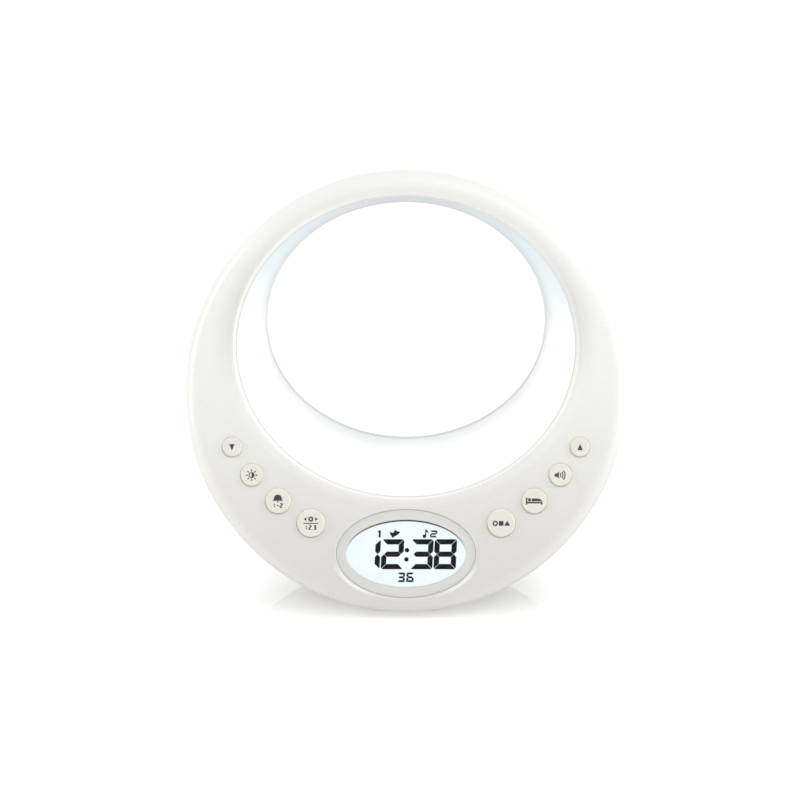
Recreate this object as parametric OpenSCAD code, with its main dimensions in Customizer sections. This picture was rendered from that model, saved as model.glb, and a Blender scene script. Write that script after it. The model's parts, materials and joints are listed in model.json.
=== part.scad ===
// Sunrise alarm clock: a ring that leans back on a flat foot, thin at the top and deep at the bottom.
// A funnel-shaped opening runs through it, lined by a glowing diffuser, over an oval display and eight keys.
// Row frame: +X right, +Y to the back, +Z up, origin on the floor under the body's middle, millimetres.
// Face frame: x to the right, y up along the leaning face, z out of the face, origin at the ring's centre.
// Back frame: y up along the sloping back, z out of the back, origin where the ring's axis meets the back.

/* [Body] */
// Outer diameter of the ring
ring_d = 206.6; // [204:0.2:210]
// Lean of the face back from upright, in degrees
face_lean = 10; // [8:0.5:12]
// Depth of the body at the top of the ring
top_depth = 21; // [20.5:0.5:24]
// Depth of the body at the bottom of the ring
bottom_depth = 85; // [83:0.5:90]
// Thickness of the walls of both shells
wall = 2.4; // [2.2:0.1:2.6]
// Radius round the front edge
shoulder_r = 8; // [7:0.25:8.5]
// Radius round the back edge
back_edge_r = 8.5; // [7:0.25:9]
// Depth behind the face of the joint between the shells
parting_depth = 12; // [11.5:0.25:12.5]

/* [Opening] */
// Width of the face on each side of the opening
side_band = 24.8; // [24.2:0.1:25.4]
// Width of the face above the opening
top_band = 13; // [12.6:0.1:13.6]
// Width of the face below the opening
bottom_band = 54.2; // [53.8:0.1:55]
// Radius that the face turns in with at the opening
lip_r = 4; // [3.4:0.1:4.2]
// Half angle by which the funnel narrows to the back
funnel_draft = 15.9; // [14.5:0.1:16.3]
// Angle by which the funnel's axis climbs from the face's normal
funnel_climb = 12.2; // [11.8:0.1:12.8]
// Wall of the translucent diffuser
diffuser_wall = 2.2; // [1.8:0.1:2.4]
// Room for light between the diffuser's inner face and the reflector
light_gap = 8; // [7.4:0.1:8.2]
// Wall of the reflector
reflector_wall = 1.4; // [1.2:0.1:1.6]

/* [Display] */
// Width of the oval display recess
recess_w = 64.8; // [63:0.2:66]
// Height of the oval display recess
recess_h = 41; // [40:0.2:42]
// Width of the oval picture window in the bezel
window_w = 55.6; // [54:0.2:57]
// Height of the oval picture window in the bezel
window_h = 31.2; // [30:0.2:32]
// Height of the display's centre above the ring's lowest point
display_up = 27.7; // [27.2:0.1:28.2]
// Thickness of the bezel
bezel_t = 1.6; // [1.4:0.1:1.8]
// Thickness of the clear lens
lens_t = 1.4; // [1.2:0.1:1.5]

/* [Keys] */
// Diameter of the smallest key, at each end of the row
end_key_d = 9.1; // [8.8:0.1:9.6]
// Growth in diameter from one key to the next towards the display
key_growth = 1.3; // [1.2:0.05:1.5]
// Space between neighbouring keys
key_spacing = 6.05; // [5.8:0.05:6.2]
// Radius of the arc that the keys follow about the opening's centre, less than the ring's by this
key_arc_inset = 10.2; // [9.8:0.1:10.6]
// Distance of the largest key's centre from the side of the display's recess
key_beside = 11.6; // [11.2:0.1:12.4]
// Height of a key above the face
key_proud = 1.3; // [1.1:0.1:1.6]
// Travel of a key
key_travel = 0.6; // [0.4:0.1:0.8]
// Clearance round a key in its hole
key_clear = 0.3; // [0.2:0.05:0.35]

/* [Back] */
// Outer diameter of the speaker
speaker_d = 40; // [38:0.5:41]
// Width of the slots in the speaker grille
slot_w = 1.6; // [1.4:0.1:1.8]
// Width of the battery door
door_w = 56; // [55:0.5:57]
// Height of the battery door
door_h = 40; // [39.5:0.5:41]
// Thickness of the battery door
door_t = 2; // [1.8:0.1:2.1]
// Diameter of a cell of the backup battery
cell_d = 10.5; // [10:0.1:10.5]
// Length of a cell of the backup battery
cell_l = 44.5; // [44:0.1:44.5]
// Diameter of the foot pads
foot_d = 9; // [8:0.5:10]
// Height of the foot pads below the base
foot_h = 1.5; // [1:0.1:2]

/* [Hidden] */
$fn = 96;

// Colours
shell_white = [0.91, 0.905, 0.88];
glow_white = [0.93, 0.98, 1.0];
reflector_white = [0.95, 0.95, 0.95];
bezel_grey = [0.85, 0.85, 0.83];
picture_blue = [0.90, 0.96, 1.0];
board_green = [0.12, 0.38, 0.20];
part_black = [0.10, 0.10, 0.11];
cone_grey = [0.25, 0.25, 0.26];
steel = [0.75, 0.75, 0.77];
rubber_grey = [0.45, 0.45, 0.46];
cell_silver = [0.62, 0.66, 0.72];

// Sizes shared by several pieces
big = 400;                          // longer than the whole body
fine_gap = 0.15;                    // between pieces that are pushed together sideways
seat_gap = 0.1;                     // between a piece and the wall that it stops against
sure_cut = 1;                       // how far a cutter runs past the face that it opens
ring_r = ring_d / 2;
back_slope = (bottom_depth - top_depth) / ring_d;
back_tilt = atan(back_slope);
mid_depth = (bottom_depth + top_depth) / 2;
inner_r = ring_r - wall;
opening_w = ring_d - 2 * side_band;
opening_h = ring_d - top_band - bottom_band;
opening_rise = (bottom_band - top_band) / 2;
display_drop = ring_r - display_up;

// The foot, and the face frame's place over it. The flat starts behind the joint, so the front stays round.
foot_start = 1.5;
heel_r = 3;                         // rounding where the base meets the back
heel_bite = 0.02;                   // how far that rounding's circle crosses the back
heel_tilt = back_tilt - face_lean;  // lean of the back to the front, from upright
face_z = foot_h + ring_r * cos(face_lean) + (parting_depth + foot_start) * sin(face_lean);
base_drop = face_z - foot_h;
heel_up = (mid_depth * sin(face_lean) - base_drop) / (cos(face_lean) + back_slope * sin(face_lean));
heel_back = heel_up * sin(face_lean) + (mid_depth - back_slope * heel_up) * cos(face_lean);
heel_trim = heel_r * (tan(heel_tilt) + 1 / cos(heel_tilt) - 1);
front_reach = (ring_r - shoulder_r) * sin(face_lean) + shoulder_r * (1 - cos(face_lean));
face_y = (front_reach - heel_back + heel_trim) / 2;

// The joint between the shells
lap_h = 2.8;                        // height of the tongue that laps the joint
tongue_r = ring_r - wall / 2 - seat_gap;

// The funnel
lip_a = opening_w / 2;
opening_ratio = opening_h / opening_w;
lip_back = 0.8;                     // how much further out the cone behind the lip ends
funnel_slope = tan(funnel_draft);
climb_slope = tan(funnel_climb);
flange_w = 2.6;                     // diffuser's flange beyond its wall
flange_t = 2;
diffuser_front = lip_r + fine_gap;
reflector_front = 15;               // depth of the reflector's front edge
reflector_drop = 1.5;               // reflector's axis below the diffuser's
guide_rib_h = 3;                    // rib on the back wall round the diffuser's end
guide_rib_t = 1.5;

// The LEDs
led_board_t = 1;
led_board_z = -reflector_front - led_board_t;
led_w = 3.4;
led_t = 1.2;
led_count = 23;
led_span = 210;                     // arc over which the LEDs are spread
led_a = lip_a - funnel_slope * (-led_board_z - lip_r) + (diffuser_wall + light_gap + fine_gap) / 2;
led_centre_y = opening_rise + climb_slope * (-led_board_z - lip_r) - reflector_drop / 2;
led_end_y = led_centre_y - led_a * opening_ratio * cos(led_span / 2);

// The display, from the face inwards
moat_w = 3.4;                       // width of the rolled edge round the recess
moat_h = 1.2;
bezel_z = -moat_h;
bezel_edge = 0.5;                   // chamfer round the picture window
lens_z = bezel_z - bezel_t - seat_gap;
ledge_z = lens_z - lens_t - seat_gap;
ledge_t = 1.2;
ledge_in = 1.6;                     // ledge's opening beyond the picture window, on each side
collar_t = 1.6;
glass_z = ledge_z - ledge_t - fine_gap;
plate_t = 1.1;                      // one of the two glass plates
glass_in = 1.2;                     // glass beyond the picture window, on each side
glass_w = window_w + 2 * glass_in;
glass_h = window_h + 2 * glass_in;
contact_ledge = 3.2;                // strip of the front plate that carries the contacts
frame_t = 1.4;
strip_w = 1.8;
strip_in = 2;                       // strip's end inside the glass's side

// The main board
board_z = -11.4;
board_t = 1.6;
board_r = inner_r - 1.7;
board_inset = 3;                    // board's inner edge beyond the opening's lip
board_hole_clear = 0.6;
component_z = board_z - board_t;
board_post_r = 3;
board_screw_r = 1.2;
board_screw_l = 5;
board_head_r = 2.2;
board_head_t = 1.4;
screw_clear = 0.05;
guide_z = glass_z - 2 * plate_t - fine_gap;
guide_t = guide_z - board_z - seat_gap;
peg_r = frame_t / 2;                // pegs that locate the display's frame in the board
peg_x = glass_w / 2 + fine_gap + frame_t / 2;

// Parts soldered to the back of the main board, as [x, y] from the display's centre and, for the chips,
// [width, height, thickness]
chip_spots = [[-18, 9.6], [6, 11.6], [30, 3.6]];
chip_sizes = [[12, 12, 1.6], [5, 9, 1.5], [8, 6, 1.5]];
capacitor_spots = [[-40, 8.6], [-33, 3.6], [20, -1.4]];
capacitor_r = 3.1;
capacitor_l = 7;
socket_spots = [[-30, -12.4], [-12, -12.4], [6, -12.4], [28, -9.4]];
socket_w = 9;
socket_h = 5;
socket_l = 6;
socket_wall = 0.9;
socket_floor = 1.2;

// The keys and their switches
key_arc_r = ring_r - key_arc_inset;
key_edge_r = 0.6;
key_crown = 0.35;                   // rise of the key's top at its middle
key_wall = 1.2;
key_flange_w = 1.2;
key_flange_t = 1;
key_foot = -wall - seat_gap - key_flange_t;
stem_r = 1.8;
switch_w = 6;
switch_h = 3.5;
plunger_r = 1.7;
plunger_rise = 1.5;
plunger_sunk = 1.4;
plunger_top = board_z + switch_h + plunger_rise;

// The screws round the ring, at angles from the x axis. The upper ones of each side keep above its end key.
end_key_at = [key_arc_r * sin(key_angle(0)), opening_rise - key_arc_r * cos(key_angle(0))];
end_key_bearing = atan2(end_key_at.y, end_key_at.x);
case_screw_inset = 12.5;
case_screw_ring = ring_r - case_screw_inset;
low_screw_x = 47;
side_screw_at = end_key_bearing + 18.6;
low_screw_at = -acos(low_screw_x / case_screw_ring);
case_screw_angles = [side_screw_at, low_screw_at, -180 - low_screw_at, 180 - side_screw_at];
// The board's, as [distance inside the ring's edge, angle]
board_screw_spots = [[14.4, end_key_bearing + 9.5], [10.6, -44.1]];
board_top = (ring_r - board_screw_spots[0][0]) * sin(board_screw_spots[0][1]) + 2 * board_post_r;
post_r = 3.5;
pilot_r = 1.5;
pilot_l = 11;
seat_depth = 17;
sleeve_r = 4.6;
well_r = 3.3;
screw_seat_t = 3;
screw_r = 1.45;
screw_l = 11;
screw_hole_r = 1.8;
head_r = 2.8;
head_t = 2;
cross_w = 0.7;
cross_d = 0.9;

// The speaker, in the back frame, beside the battery door
pad_w = 3;                          // thicker wall round the door
speaker_gap = 3;                    // between the speaker and that wall
speaker_edge = 20.25;               // between the middle of the speaker's outer half and the ring's edge
speaker_x = door_w / 2 + pad_w + speaker_gap + speaker_d / 2;
speaker_y = -sqrt(pow(ring_r - speaker_edge - speaker_d / 4, 2) - speaker_x * speaker_x);
rim_t = 1.2;
rim_w = 3;
basket_depth = 11;
basket_r = 12.5;
basket_t = 0.8;
magnet_r = 11;
magnet_t = 6.5;
cone_t = 0.5;
coil_r = 5;
cone_depth = 6;
surround_w = 3;                     // flat surround between the cone and its rim
coil_l = 3;
coil_gap = 0.6;                     // between the coil and the magnet's core
cap_r = 8;                          // radius of the dust cap's dome
cap_h = 2;
leg_gap = 8;                        // width of the basket's windows
clamp_t = 1.6;
clamp_lip = 2;
clamp_ear_r = 3.4;
locator_t = 1.4;                    // rib on the back wall round the speaker
locator_h = 2.6;
ear_ring = speaker_d / 2 + fine_gap + locator_t + 2.4;
ear_angles = [40, 160, 280];
ear_post_r = 2.6;
ear_post_l = rim_t + seat_gap + 2.6;
ear_screw_l = 5;
grille_rings = 4;
slot_pitch = 3.9;
spoke_w = 2.4;

// The power jack, in the back frame
jack_edge = 28.1;                   // between the jack's axis and the ring's edge
jack_bearing = 36.25;
jack_x = -(ring_r - jack_edge) * cos(jack_bearing);
jack_y = -(ring_r - jack_edge) * sin(jack_bearing);
jack_w = 10;
jack_h = 11;
jack_l = 13;
jack_nose_r = 4;
jack_bore_r = 2.9;
jack_bore_l = 9.5;
jack_pin_r = 1;
jack_pin_in = 1.2;                  // pin's tip inside the mouth
jack_dish_r = 6.5;
jack_dish_h = 0.9;
cradle_t = 1.4;
cradle_l = 8;

// The backup battery, in the back frame
cells = 3;
door_edge = 34.5;                   // between the door's middle and the ring's edge
door_y = door_edge - ring_r;
door_gap = 0.3;
tray_wall = 1.6;
spring_room = 4.2;
contact_room = 1.2;
contact_t = 0.5;
contact_w = 8;
cell_pitch = cell_d + 0.3;
cell_nub_r = 1.9;
cell_nub_h = 1;
tray_w = cell_l + spring_room + contact_room;
tray_h = cells * cell_pitch + 0.4;
tray_top = -door_t - door_gap;
tray_floor = tray_top - cell_d - 0.6;
cell_z = tray_floor + cell_d / 2 + 0.2;
tab_w = 7;
tab_x = 15;
tab_l = 2;
tab_t = 1.2;
tab_root = 1.6;
tab_room = 0.6;                     // clearance round a tab in its slot
hinge_r = door_t / 2;               // the door turns on its rounded lower edge
tab_swing = hinge_r + norm([tab_root - hinge_r, hinge_r + tab_t]) + 2 * door_gap;
latch_w = 12;
latch_l = 7;
latch_slot = 0.8;
finger_r = 9;
finger_sunk = 1.2;
wire_r = 0.35;                      // wire of the battery springs
spring_turns = 3.5;
wire_sides = 8;
rings_per_turn = 12;

// The foot pads
foot_sink = 0.8;
front_foot_x = 12;
back_foot_x = 33;
front_foot_in = 13;                 // behind the base's front tip
back_foot_in = 11;                  // in front of the heel

// Frames
module face_frame() translate([0, face_y, face_z]) rotate([90 - face_lean, 0, 0]) children();
module back_frame() translate([0, 0, -mid_depth]) rotate([back_tilt, 0, 0]) rotate([0, 180, 0]) children();
module row_frame() rotate([face_lean - 90, 0, 0]) translate([0, -face_y, -face_z]) children();

// Rounds the corner at [x, y] of a profile that lies left of x; up is 1 at a top corner, -1 at a bottom one
module corner_cut(x, y, r, up) difference() {
    translate([x - r, up > 0 ? y - r : y - 1]) square([r + 1, r + 1]);
    translate([x - r, y - up * r]) circle(r);
}

// Everything between two depths behind the face
module slab(from, to) translate([-big / 2, -big / 2, -to]) cube([big, big, to - from]);

// A disc of this radius between two depths behind the face
module disc(r, from, to) translate([0, 0, -to]) cylinder(r = r, h = to - from);

// Everything in front of the plane that lies this far inside the back
module front_of_back(inset) back_frame() translate([-big / 2, -big / 2, -big - inset]) cube(big);

// Everything at least this far inside the base, with the heel rounded where the inset is nothing
module above_base(inset) row_frame() rotate([90, 0, 90]) translate([0, 0, -big / 2]) linear_extrude(big)
    difference() {
        heel_y = face_y + heel_back - heel_r * (tan(heel_tilt) + 1 / cos(heel_tilt)) + heel_bite;
        translate([-big / 2, foot_h + inset]) square(big);
        if (inset == 0) translate([heel_y, foot_h + heel_r]) difference() {
            translate([0, -heel_r - 1]) square([heel_r + 2, heel_r + 1 + heel_r * sin(heel_tilt)]);
            circle(heel_r);
        }
    }

// Outline of the front shell, filled and inset from its outside
module front_form(inset, depth) rotate_extrude() difference() {
    translate([0, -depth]) square([ring_r - inset, depth - inset]);
    corner_cut(ring_r - inset, -inset, shoulder_r - inset, 1);
}

// Turns a profile about the z axis and then stretches or slants it, a quarter at a time
module stretched_turn(m) for (q = [45 : 90 : 315])
    multmatrix(m) rotate_extrude(angle = 90, start = q) children();

// Outline of the rear shell, filled and inset from its outside. The slant tilts its flat end into the back.
module back_form(inset) stretched_turn([[1, 0, 0, 0], [0, 1, 0, 0], [0, back_slope, 1, 0], [0, 0, 0, 1]])
    difference() {
        end = mid_depth - inset / cos(back_tilt);
        translate([0, -end]) square([ring_r - inset, 2 * end]);
        corner_cut(ring_r - inset, -end, back_edge_r - inset, -1);
    }

// Turns a profile into the opening's oval, with its centre climbing to the back
module funnel_turn(drop = 0) stretched_turn([
    [1, 0, 0, 0],
    [0, opening_ratio, -climb_slope, opening_rise - drop - climb_slope * lip_r],
    [0, 0, 1, 0],
    [0, 0, 0, 1]]) children();

// Radius of the funnel before it is squeezed, grown outwards from the diffuser's inner face
function funnel_r(depth, grow) = lip_a + grow - funnel_slope * (depth - lip_r);

// Solid of the funnel
module funnel(grow, drop = 0) {
    front = -30;
    back = bottom_depth + 2 * wall;
    funnel_turn(drop) polygon([
        [0, -front], [funnel_r(front, grow), -front], [funnel_r(back, grow), -back], [0, -back]]);
}

// Turns a profile into an oval w wide and h high about [0, y], square to the face
module oval_turn(w, h, y)
    stretched_turn([[1, 0, 0, 0], [0, h / w, 0, y], [0, 0, 1, 0], [0, 0, 0, 1]]) children();

// What an oval opening takes out of the face: w wide below a rolled edge that is roll_w wide and roll_h deep
module rolled_mouth(w, h, y, roll_w, roll_h, depth) oval_turn(w, h, y) difference() {
    translate([0, -depth]) square([w / 2 + roll_w, depth + parting_depth]);
    translate([w / 2, -depth - 1]) square([roll_w + 1, depth + 1 - roll_h]);
    translate([w / 2 + roll_w, -roll_h]) scale([roll_w / roll_h, 1]) circle(roll_h);
}

// Material left behind the rolled edge of the opening
module lip_backing() oval_turn(opening_w, opening_h, opening_rise) polygon([
    [0, -lip_r], [lip_a + wall, -lip_r], [lip_a + wall + lip_r + lip_back, lip_back], [0, lip_back]]);

// The display's oval, w wide and h high, from z down by t
module display_oval(w, h, z, t) oval_turn(w, h, -display_drop) translate([0, z - t]) square([w / 2, t]);

// A box centred on the display, from z down by t; up is how much taller it is at its top
module display_box(w, h, up, z, t) translate([-w / 2, -display_drop - h / 2, z - t]) cube([w, h + up, t]);

// Keys sit on an arc about the opening's centre: key 3 beside the display, key 0 at the end of the row
function key_d(i) = end_key_d + i * key_growth;
function key_step(i) = 2 * asin(((key_d(i) + key_d(i + 1)) / 2 + key_spacing) / (2 * key_arc_r));
function key_angle(i) =
    i == 3 ? asin((recess_w / 2 + key_beside) / key_arc_r) : key_angle(i + 1) + key_step(i);
module at_key(side, i) {
    a = key_angle(i);
    translate([side * key_arc_r * sin(a), opening_rise - key_arc_r * cos(a), 0]) children();
}

module at_case_screws() for (a = case_screw_angles)
    translate([case_screw_ring * cos(a), case_screw_ring * sin(a), 0]) children();
module at_board_screws() for (side = [-1, 1], s = board_screw_spots)
    translate([side * (ring_r - s[0]) * cos(s[1]), (ring_r - s[0]) * sin(s[1]), 0]) children();
module at_pegs() for (side = [-1, 1]) translate([side * peg_x, -display_drop, 0]) children();
module behind_display() translate([0, -display_drop, component_z - seat_gap]) children();
module at_speaker() back_frame() translate([speaker_x, speaker_y, 0]) children();
module at_ears() for (a = ear_angles) rotate(a) translate([ear_ring, 0, 0]) children();
module at_jack() back_frame() translate([jack_x, jack_y, 0]) children();
module at_door() back_frame() translate([0, door_y, 0]) children();
module at_tabs() for (side = [-1, 1]) translate([side * tab_x, -door_h / 2, 0]) children();
module at_hinge() translate([0, hinge_r - door_h / 2, -hinge_r]) rotate([0, 90, 0]) children();
module at_cells() for (i = [0 : cells - 1])
    translate([0, (i - (cells - 1) / 2) * cell_pitch, cell_z]) mirror([i % 2, 0, 0]) children();
module at_feet() {
    tip_y = face_y - ring_r * sin(face_lean) + (parting_depth + foot_start) * cos(face_lean);
    for (side = [-1, 1]) {
        translate([side * front_foot_x, tip_y + front_foot_in, 0]) children();
        translate([side * back_foot_x, face_y + heel_back - back_foot_in, 0]) children();
    }
}

// A box w by h about the z axis, from z down by t
module block(w, h, z, t) translate([-w / 2, -h / 2, z - t]) cube([w, h, t]);

// A screw with its head's top at z = 0 and a cross in it, pointing down
module screw(head_r, head_t, shank_r, shank_l) difference() {
    union() {
        translate([0, 0, -head_t]) cylinder(r = head_r, h = head_t);
        translate([0, 0, -head_t - shank_l]) cylinder(r = shank_r, h = shank_l + sure_cut);
    }
    for (a = [0, 90]) rotate(a) translate([-head_r * 0.7, -cross_w / 2, -cross_d])
        cube([head_r * 1.4, cross_w, cross_d + sure_cut]);
}

module front_shell() color(shell_white) face_frame() difference() {
    union() {
        difference() {
            front_form(0, parting_depth);
            difference() {
                front_form(wall, 2 * parting_depth);
                lip_backing();
                display_oval(recess_w + 2 * collar_t, recess_h + 2 * collar_t, 0, ledge_t - ledge_z);
            }
            translate([0, 0, -parting_depth - 1]) cylinder(r = tongue_r + fine_gap, h = lap_h + 1 + seat_gap);
        }
        at_case_screws() translate([0, 0, -seat_depth + seat_gap])
            cylinder(r = post_r, h = seat_depth - seat_gap - wall / 2);
        at_board_screws() translate([0, 0, board_z + seat_gap])
            cylinder(r = board_post_r, h = -board_z - seat_gap - wall / 2);
    }
    rolled_mouth(opening_w, opening_h, opening_rise, lip_r, lip_r, 2 * parting_depth);
    rolled_mouth(recess_w, recess_h, -display_drop, moat_w, moat_h, -ledge_z);
    display_oval(window_w + 2 * ledge_in, window_h + 2 * ledge_in, 0, big / 4);
    at_case_screws() translate([0, 0, -seat_depth - sure_cut]) cylinder(r = pilot_r, h = pilot_l + sure_cut);
    at_board_screws() translate([0, 0, board_z - sure_cut])
        cylinder(r = board_screw_r + screw_clear, h = board_screw_l + sure_cut);
    for (side = [-1, 1], i = [0 : 3]) at_key(side, i)
        translate([0, 0, -wall - sure_cut]) cylinder(d = key_d(i) + 2 * key_clear, h = wall + 2 * sure_cut);
}

// The rear shell's slots for sound: rings broken by spokes, turned from ring to ring
module grille() {
    translate([0, 0, -2 * wall]) cylinder(d = slot_w, h = 3 * wall);
    for (i = [1 : grille_rings]) difference() {
        translate([0, 0, -2 * wall]) cylinder(r = i * slot_pitch + slot_w / 2, h = 3 * wall);
        translate([0, 0, -3 * wall]) cylinder(r = i * slot_pitch - slot_w / 2, h = 5 * wall);
        for (a = [0, 60, 120]) rotate(a + 30 * (i % 2)) block(4 * speaker_d, spoke_w, 2 * wall, 5 * wall);
    }
}

// What stands on the inside of the back, before it is trimmed to the outside
module back_fittings() {
    // rib round the diffuser's end
    difference() {
        funnel(diffuser_wall + fine_gap + guide_rib_t);
        front_of_back(wall + guide_rib_h);
    }
    // sleeves for the case screws
    at_case_screws() translate([0, 0, -big / 2]) cylinder(r = sleeve_r, h = big / 2 - seat_depth);
    // rib round the speaker, and posts for its clamp
    at_speaker() {
        difference() {
            disc(speaker_d / 2 + fine_gap + locator_t, 0, wall + locator_h);
            disc(speaker_d / 2 + fine_gap, wall, wall + locator_h + 1);
        }
        at_ears() translate([0, 0, -wall - ear_post_l]) cylinder(r = ear_post_r, h = wall + ear_post_l);
    }
    // cradle for the power jack
    at_jack() difference() {
        block(jack_w + 2 * (fine_gap + cradle_t), jack_h + 2 * (fine_gap + cradle_t), 0, wall + cradle_l);
        block(jack_w + 2 * fine_gap, jack_h + 2 * fine_gap, -wall, big / 4);
    }
    // battery tray, under a thicker frame for the door
    at_door() {
        block(door_w + 2 * pad_w, door_h + 2 * pad_w, 0, -tray_top + tray_wall);
        block(tray_w + 2 * tray_wall, tray_h + 2 * tray_wall, tray_top, tray_top - tray_floor + tray_wall);
    }
}

module rear_shell() color(shell_white) face_frame() difference() {
    union() {
        difference() {
            intersection() {
                back_form(0);
                slab(parting_depth, big / 2);
                above_base(0);
            }
            intersection() {
                back_form(wall);
                above_base(wall);
            }
        }
        // tongue inside the front shell's edge
        difference() {
            disc(tongue_r, parting_depth - lap_h + seat_gap, parting_depth + foot_start);
            disc(inner_r, parting_depth - lap_h, parting_depth + foot_start + 1);
        }
        intersection() {
            back_fittings();
            front_of_back(wall / 2);
        }
    }
    funnel(0);
    // the diffuser's end stops against the back wall
    intersection() {
        funnel(diffuser_wall + fine_gap);
        front_of_back(wall);
    }
    // screw wells and their seats
    at_case_screws() {
        translate([0, 0, -big / 2]) cylinder(r = well_r, h = big / 2 - seat_depth - screw_seat_t);
        translate([0, 0, -big / 2]) cylinder(r = screw_hole_r, h = big / 2);
    }
    at_speaker() {
        grille();
        at_ears() translate([0, 0, -big / 4]) cylinder(r = board_screw_r + screw_clear, h = big / 4 - wall);
    }
    at_jack() {
        translate([0, 0, -2 * wall]) cylinder(r = jack_nose_r + fine_gap, h = 3 * wall);
        translate([0, 0, -jack_dish_h]) cylinder(r = jack_dish_r, h = wall);
    }
    at_door() {
        block(door_w + 2 * door_gap, door_h + 2 * door_gap, wall, wall - tray_top);
        block(tray_w, tray_h, wall, wall - tray_floor);
        // slots for the door's tabs, open behind so that the tabs can turn
        at_tabs() translate([-tab_w / 2 - tab_room, -tab_l - tab_room, tray_top - tray_wall - 1])
            cube([tab_w + 2 * tab_room, tab_l + tab_room + tab_swing, tray_wall + 1 + door_gap + 0.2]);
        // hollow for a finger at the latch
        translate([0, door_h / 2 + door_gap + finger_r / 3, finger_r - finger_sunk]) sphere(finger_r);
    }
    row_frame() at_feet() cylinder(d = foot_d + 2 * fine_gap, h = foot_h + foot_sink);
}

module light_diffuser() color(glow_white) face_frame() intersection() {
    funnel_turn() {
        back = bottom_depth;
        flange_back = diffuser_front + flange_t;
        polygon([
            [funnel_r(diffuser_front, 0), -diffuser_front],
            [funnel_r(diffuser_front, diffuser_wall + flange_w), -diffuser_front],
            [funnel_r(diffuser_front, diffuser_wall + flange_w), -flange_back],
            [funnel_r(flange_back, diffuser_wall), -flange_back],
            [funnel_r(back, diffuser_wall), -back],
            [funnel_r(back, 0), -back]]);
    }
    front_of_back(wall + seat_gap);
}

module light_reflector() color(reflector_white) face_frame() intersection() {
    funnel_turn(reflector_drop) {
        front = reflector_front;
        back = bottom_depth;
        polygon([
            [funnel_r(front, light_gap), -front], [funnel_r(front, light_gap + reflector_wall), -front],
            [funnel_r(back, light_gap + reflector_wall), -back], [funnel_r(back, light_gap), -back]]);
    }
    back_form(wall + seat_gap);
}

module led_board() color(board_green) face_frame() difference() {
    intersection() {
        funnel(light_gap - fine_gap, reflector_drop);
        slab(-led_board_z - led_board_t, -led_board_z);
    }
    funnel(diffuser_wall + 2 * fine_gap);
    translate([-big / 2, led_end_y + led_w, -big / 2]) cube(big);
}

// LEDs follow the middle of their board, facing the back
module led_chips() color([1, 0.95, 0.75]) face_frame() for (i = [0 : led_count - 1]) {
    t = (i / (led_count - 1) - 0.5) * led_span;
    translate([led_a * sin(t), led_centre_y - led_a * opening_ratio * cos(t), led_board_z - seat_gap / 2])
        rotate(t) block(led_w, led_w, 0, led_t);
}

module display_bezel() color(bezel_grey) face_frame() difference() {
    display_oval(recess_w - 2 * fine_gap, recess_h - 2 * fine_gap, bezel_z, bezel_t);
    display_oval(window_w, window_h, 1, big / 4);
    // chamfer round the window
    oval_turn(window_w, window_h, -display_drop) translate([0, bezel_z]) polygon([
        [0, -bezel_edge], [window_w / 2, -bezel_edge],
        [window_w / 2 + 2 * bezel_edge, bezel_edge], [0, bezel_edge]]);
}

module display_lens() color([0.85, 0.9, 0.92, 0.4]) face_frame()
    display_oval(recess_w - 2 * fine_gap, recess_h - 2 * fine_gap, lens_z, lens_t);

module display_glass() color(picture_blue) face_frame() {
    display_box(glass_w, glass_h, contact_ledge, glass_z, plate_t);
    display_box(glass_w, glass_h, 0, glass_z - plate_t, plate_t);
}

module display_light_guide() color([0.97, 0.97, 0.97]) face_frame() difference() {
    display_box(glass_w, glass_h, 0, guide_z, guide_t);
    // notches for its two lamps
    for (side = [-1, 1]) translate([side * glass_w / 2, -display_drop, 0])
        block(2 * led_w, led_w, guide_z - guide_t / 3, guide_t);
}

module display_frame() color([0.9, 0.9, 0.9]) face_frame() {
    difference() {
        display_box(glass_w + 2 * (fine_gap + frame_t), glass_h + 2 * (fine_gap + frame_t), contact_ledge,
                    glass_z + fine_gap / 2, glass_z + fine_gap / 2 - board_z - seat_gap);
        display_box(glass_w + 2 * fine_gap, glass_h + 2 * fine_gap, contact_ledge, 0, big / 4);
    }
    at_pegs() translate([0, 0, component_z]) cylinder(r = peg_r, h = board_t + seat_gap + 1);
}

module display_contact_strip() color([0.85, 0.55, 0.6]) face_frame()
    translate([0, -display_drop + glass_h / 2 + contact_ledge / 2 + fine_gap / 2, glass_z - plate_t])
        block(glass_w - 2 * strip_in, strip_w, -seat_gap / 2, glass_z - plate_t - seat_gap - board_z);

module main_board() color(board_green) face_frame() difference() {
    intersection() {
        disc(board_r, -board_z, -component_z);
        translate([-big / 2, board_top - big, -big / 2]) cube(big);
    }
    oval_turn(opening_w, opening_h, opening_rise)
        translate([0, -big / 4]) square([lip_a + board_inset, big / 2]);
    at_case_screws() translate([0, 0, -big / 4]) cylinder(r = post_r + board_hole_clear, h = big / 2);
    at_board_screws() translate([0, 0, -big / 4]) cylinder(r = board_screw_r + fine_gap, h = big / 2);
    at_pegs() translate([0, 0, -big / 4]) cylinder(r = peg_r + screw_clear, h = big / 2);
}

module board_screws() color(steel) face_frame() at_board_screws()
    translate([0, 0, component_z - seat_gap]) rotate([180, 0, 0]) translate([0, 0, board_head_t])
        screw(board_head_r, board_head_t, board_screw_r, board_screw_l);

module key_switches() color(part_black) face_frame() for (side = [-1, 1], i = [0 : 3])
    at_key(side, i) difference() {
        block(switch_w, switch_w, board_z + switch_h, switch_h - seat_gap / 2);
        translate([0, 0, board_z + switch_h - plunger_sunk - key_travel - seat_gap])
            cylinder(r = plunger_r + screw_clear, h = switch_h);
    }

module plunger(side, i) color([0.3, 0.3, 0.32]) face_frame() at_key(side, i)
    disc(plunger_r, -plunger_top, plunger_rise + plunger_sunk - plunger_top);

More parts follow.
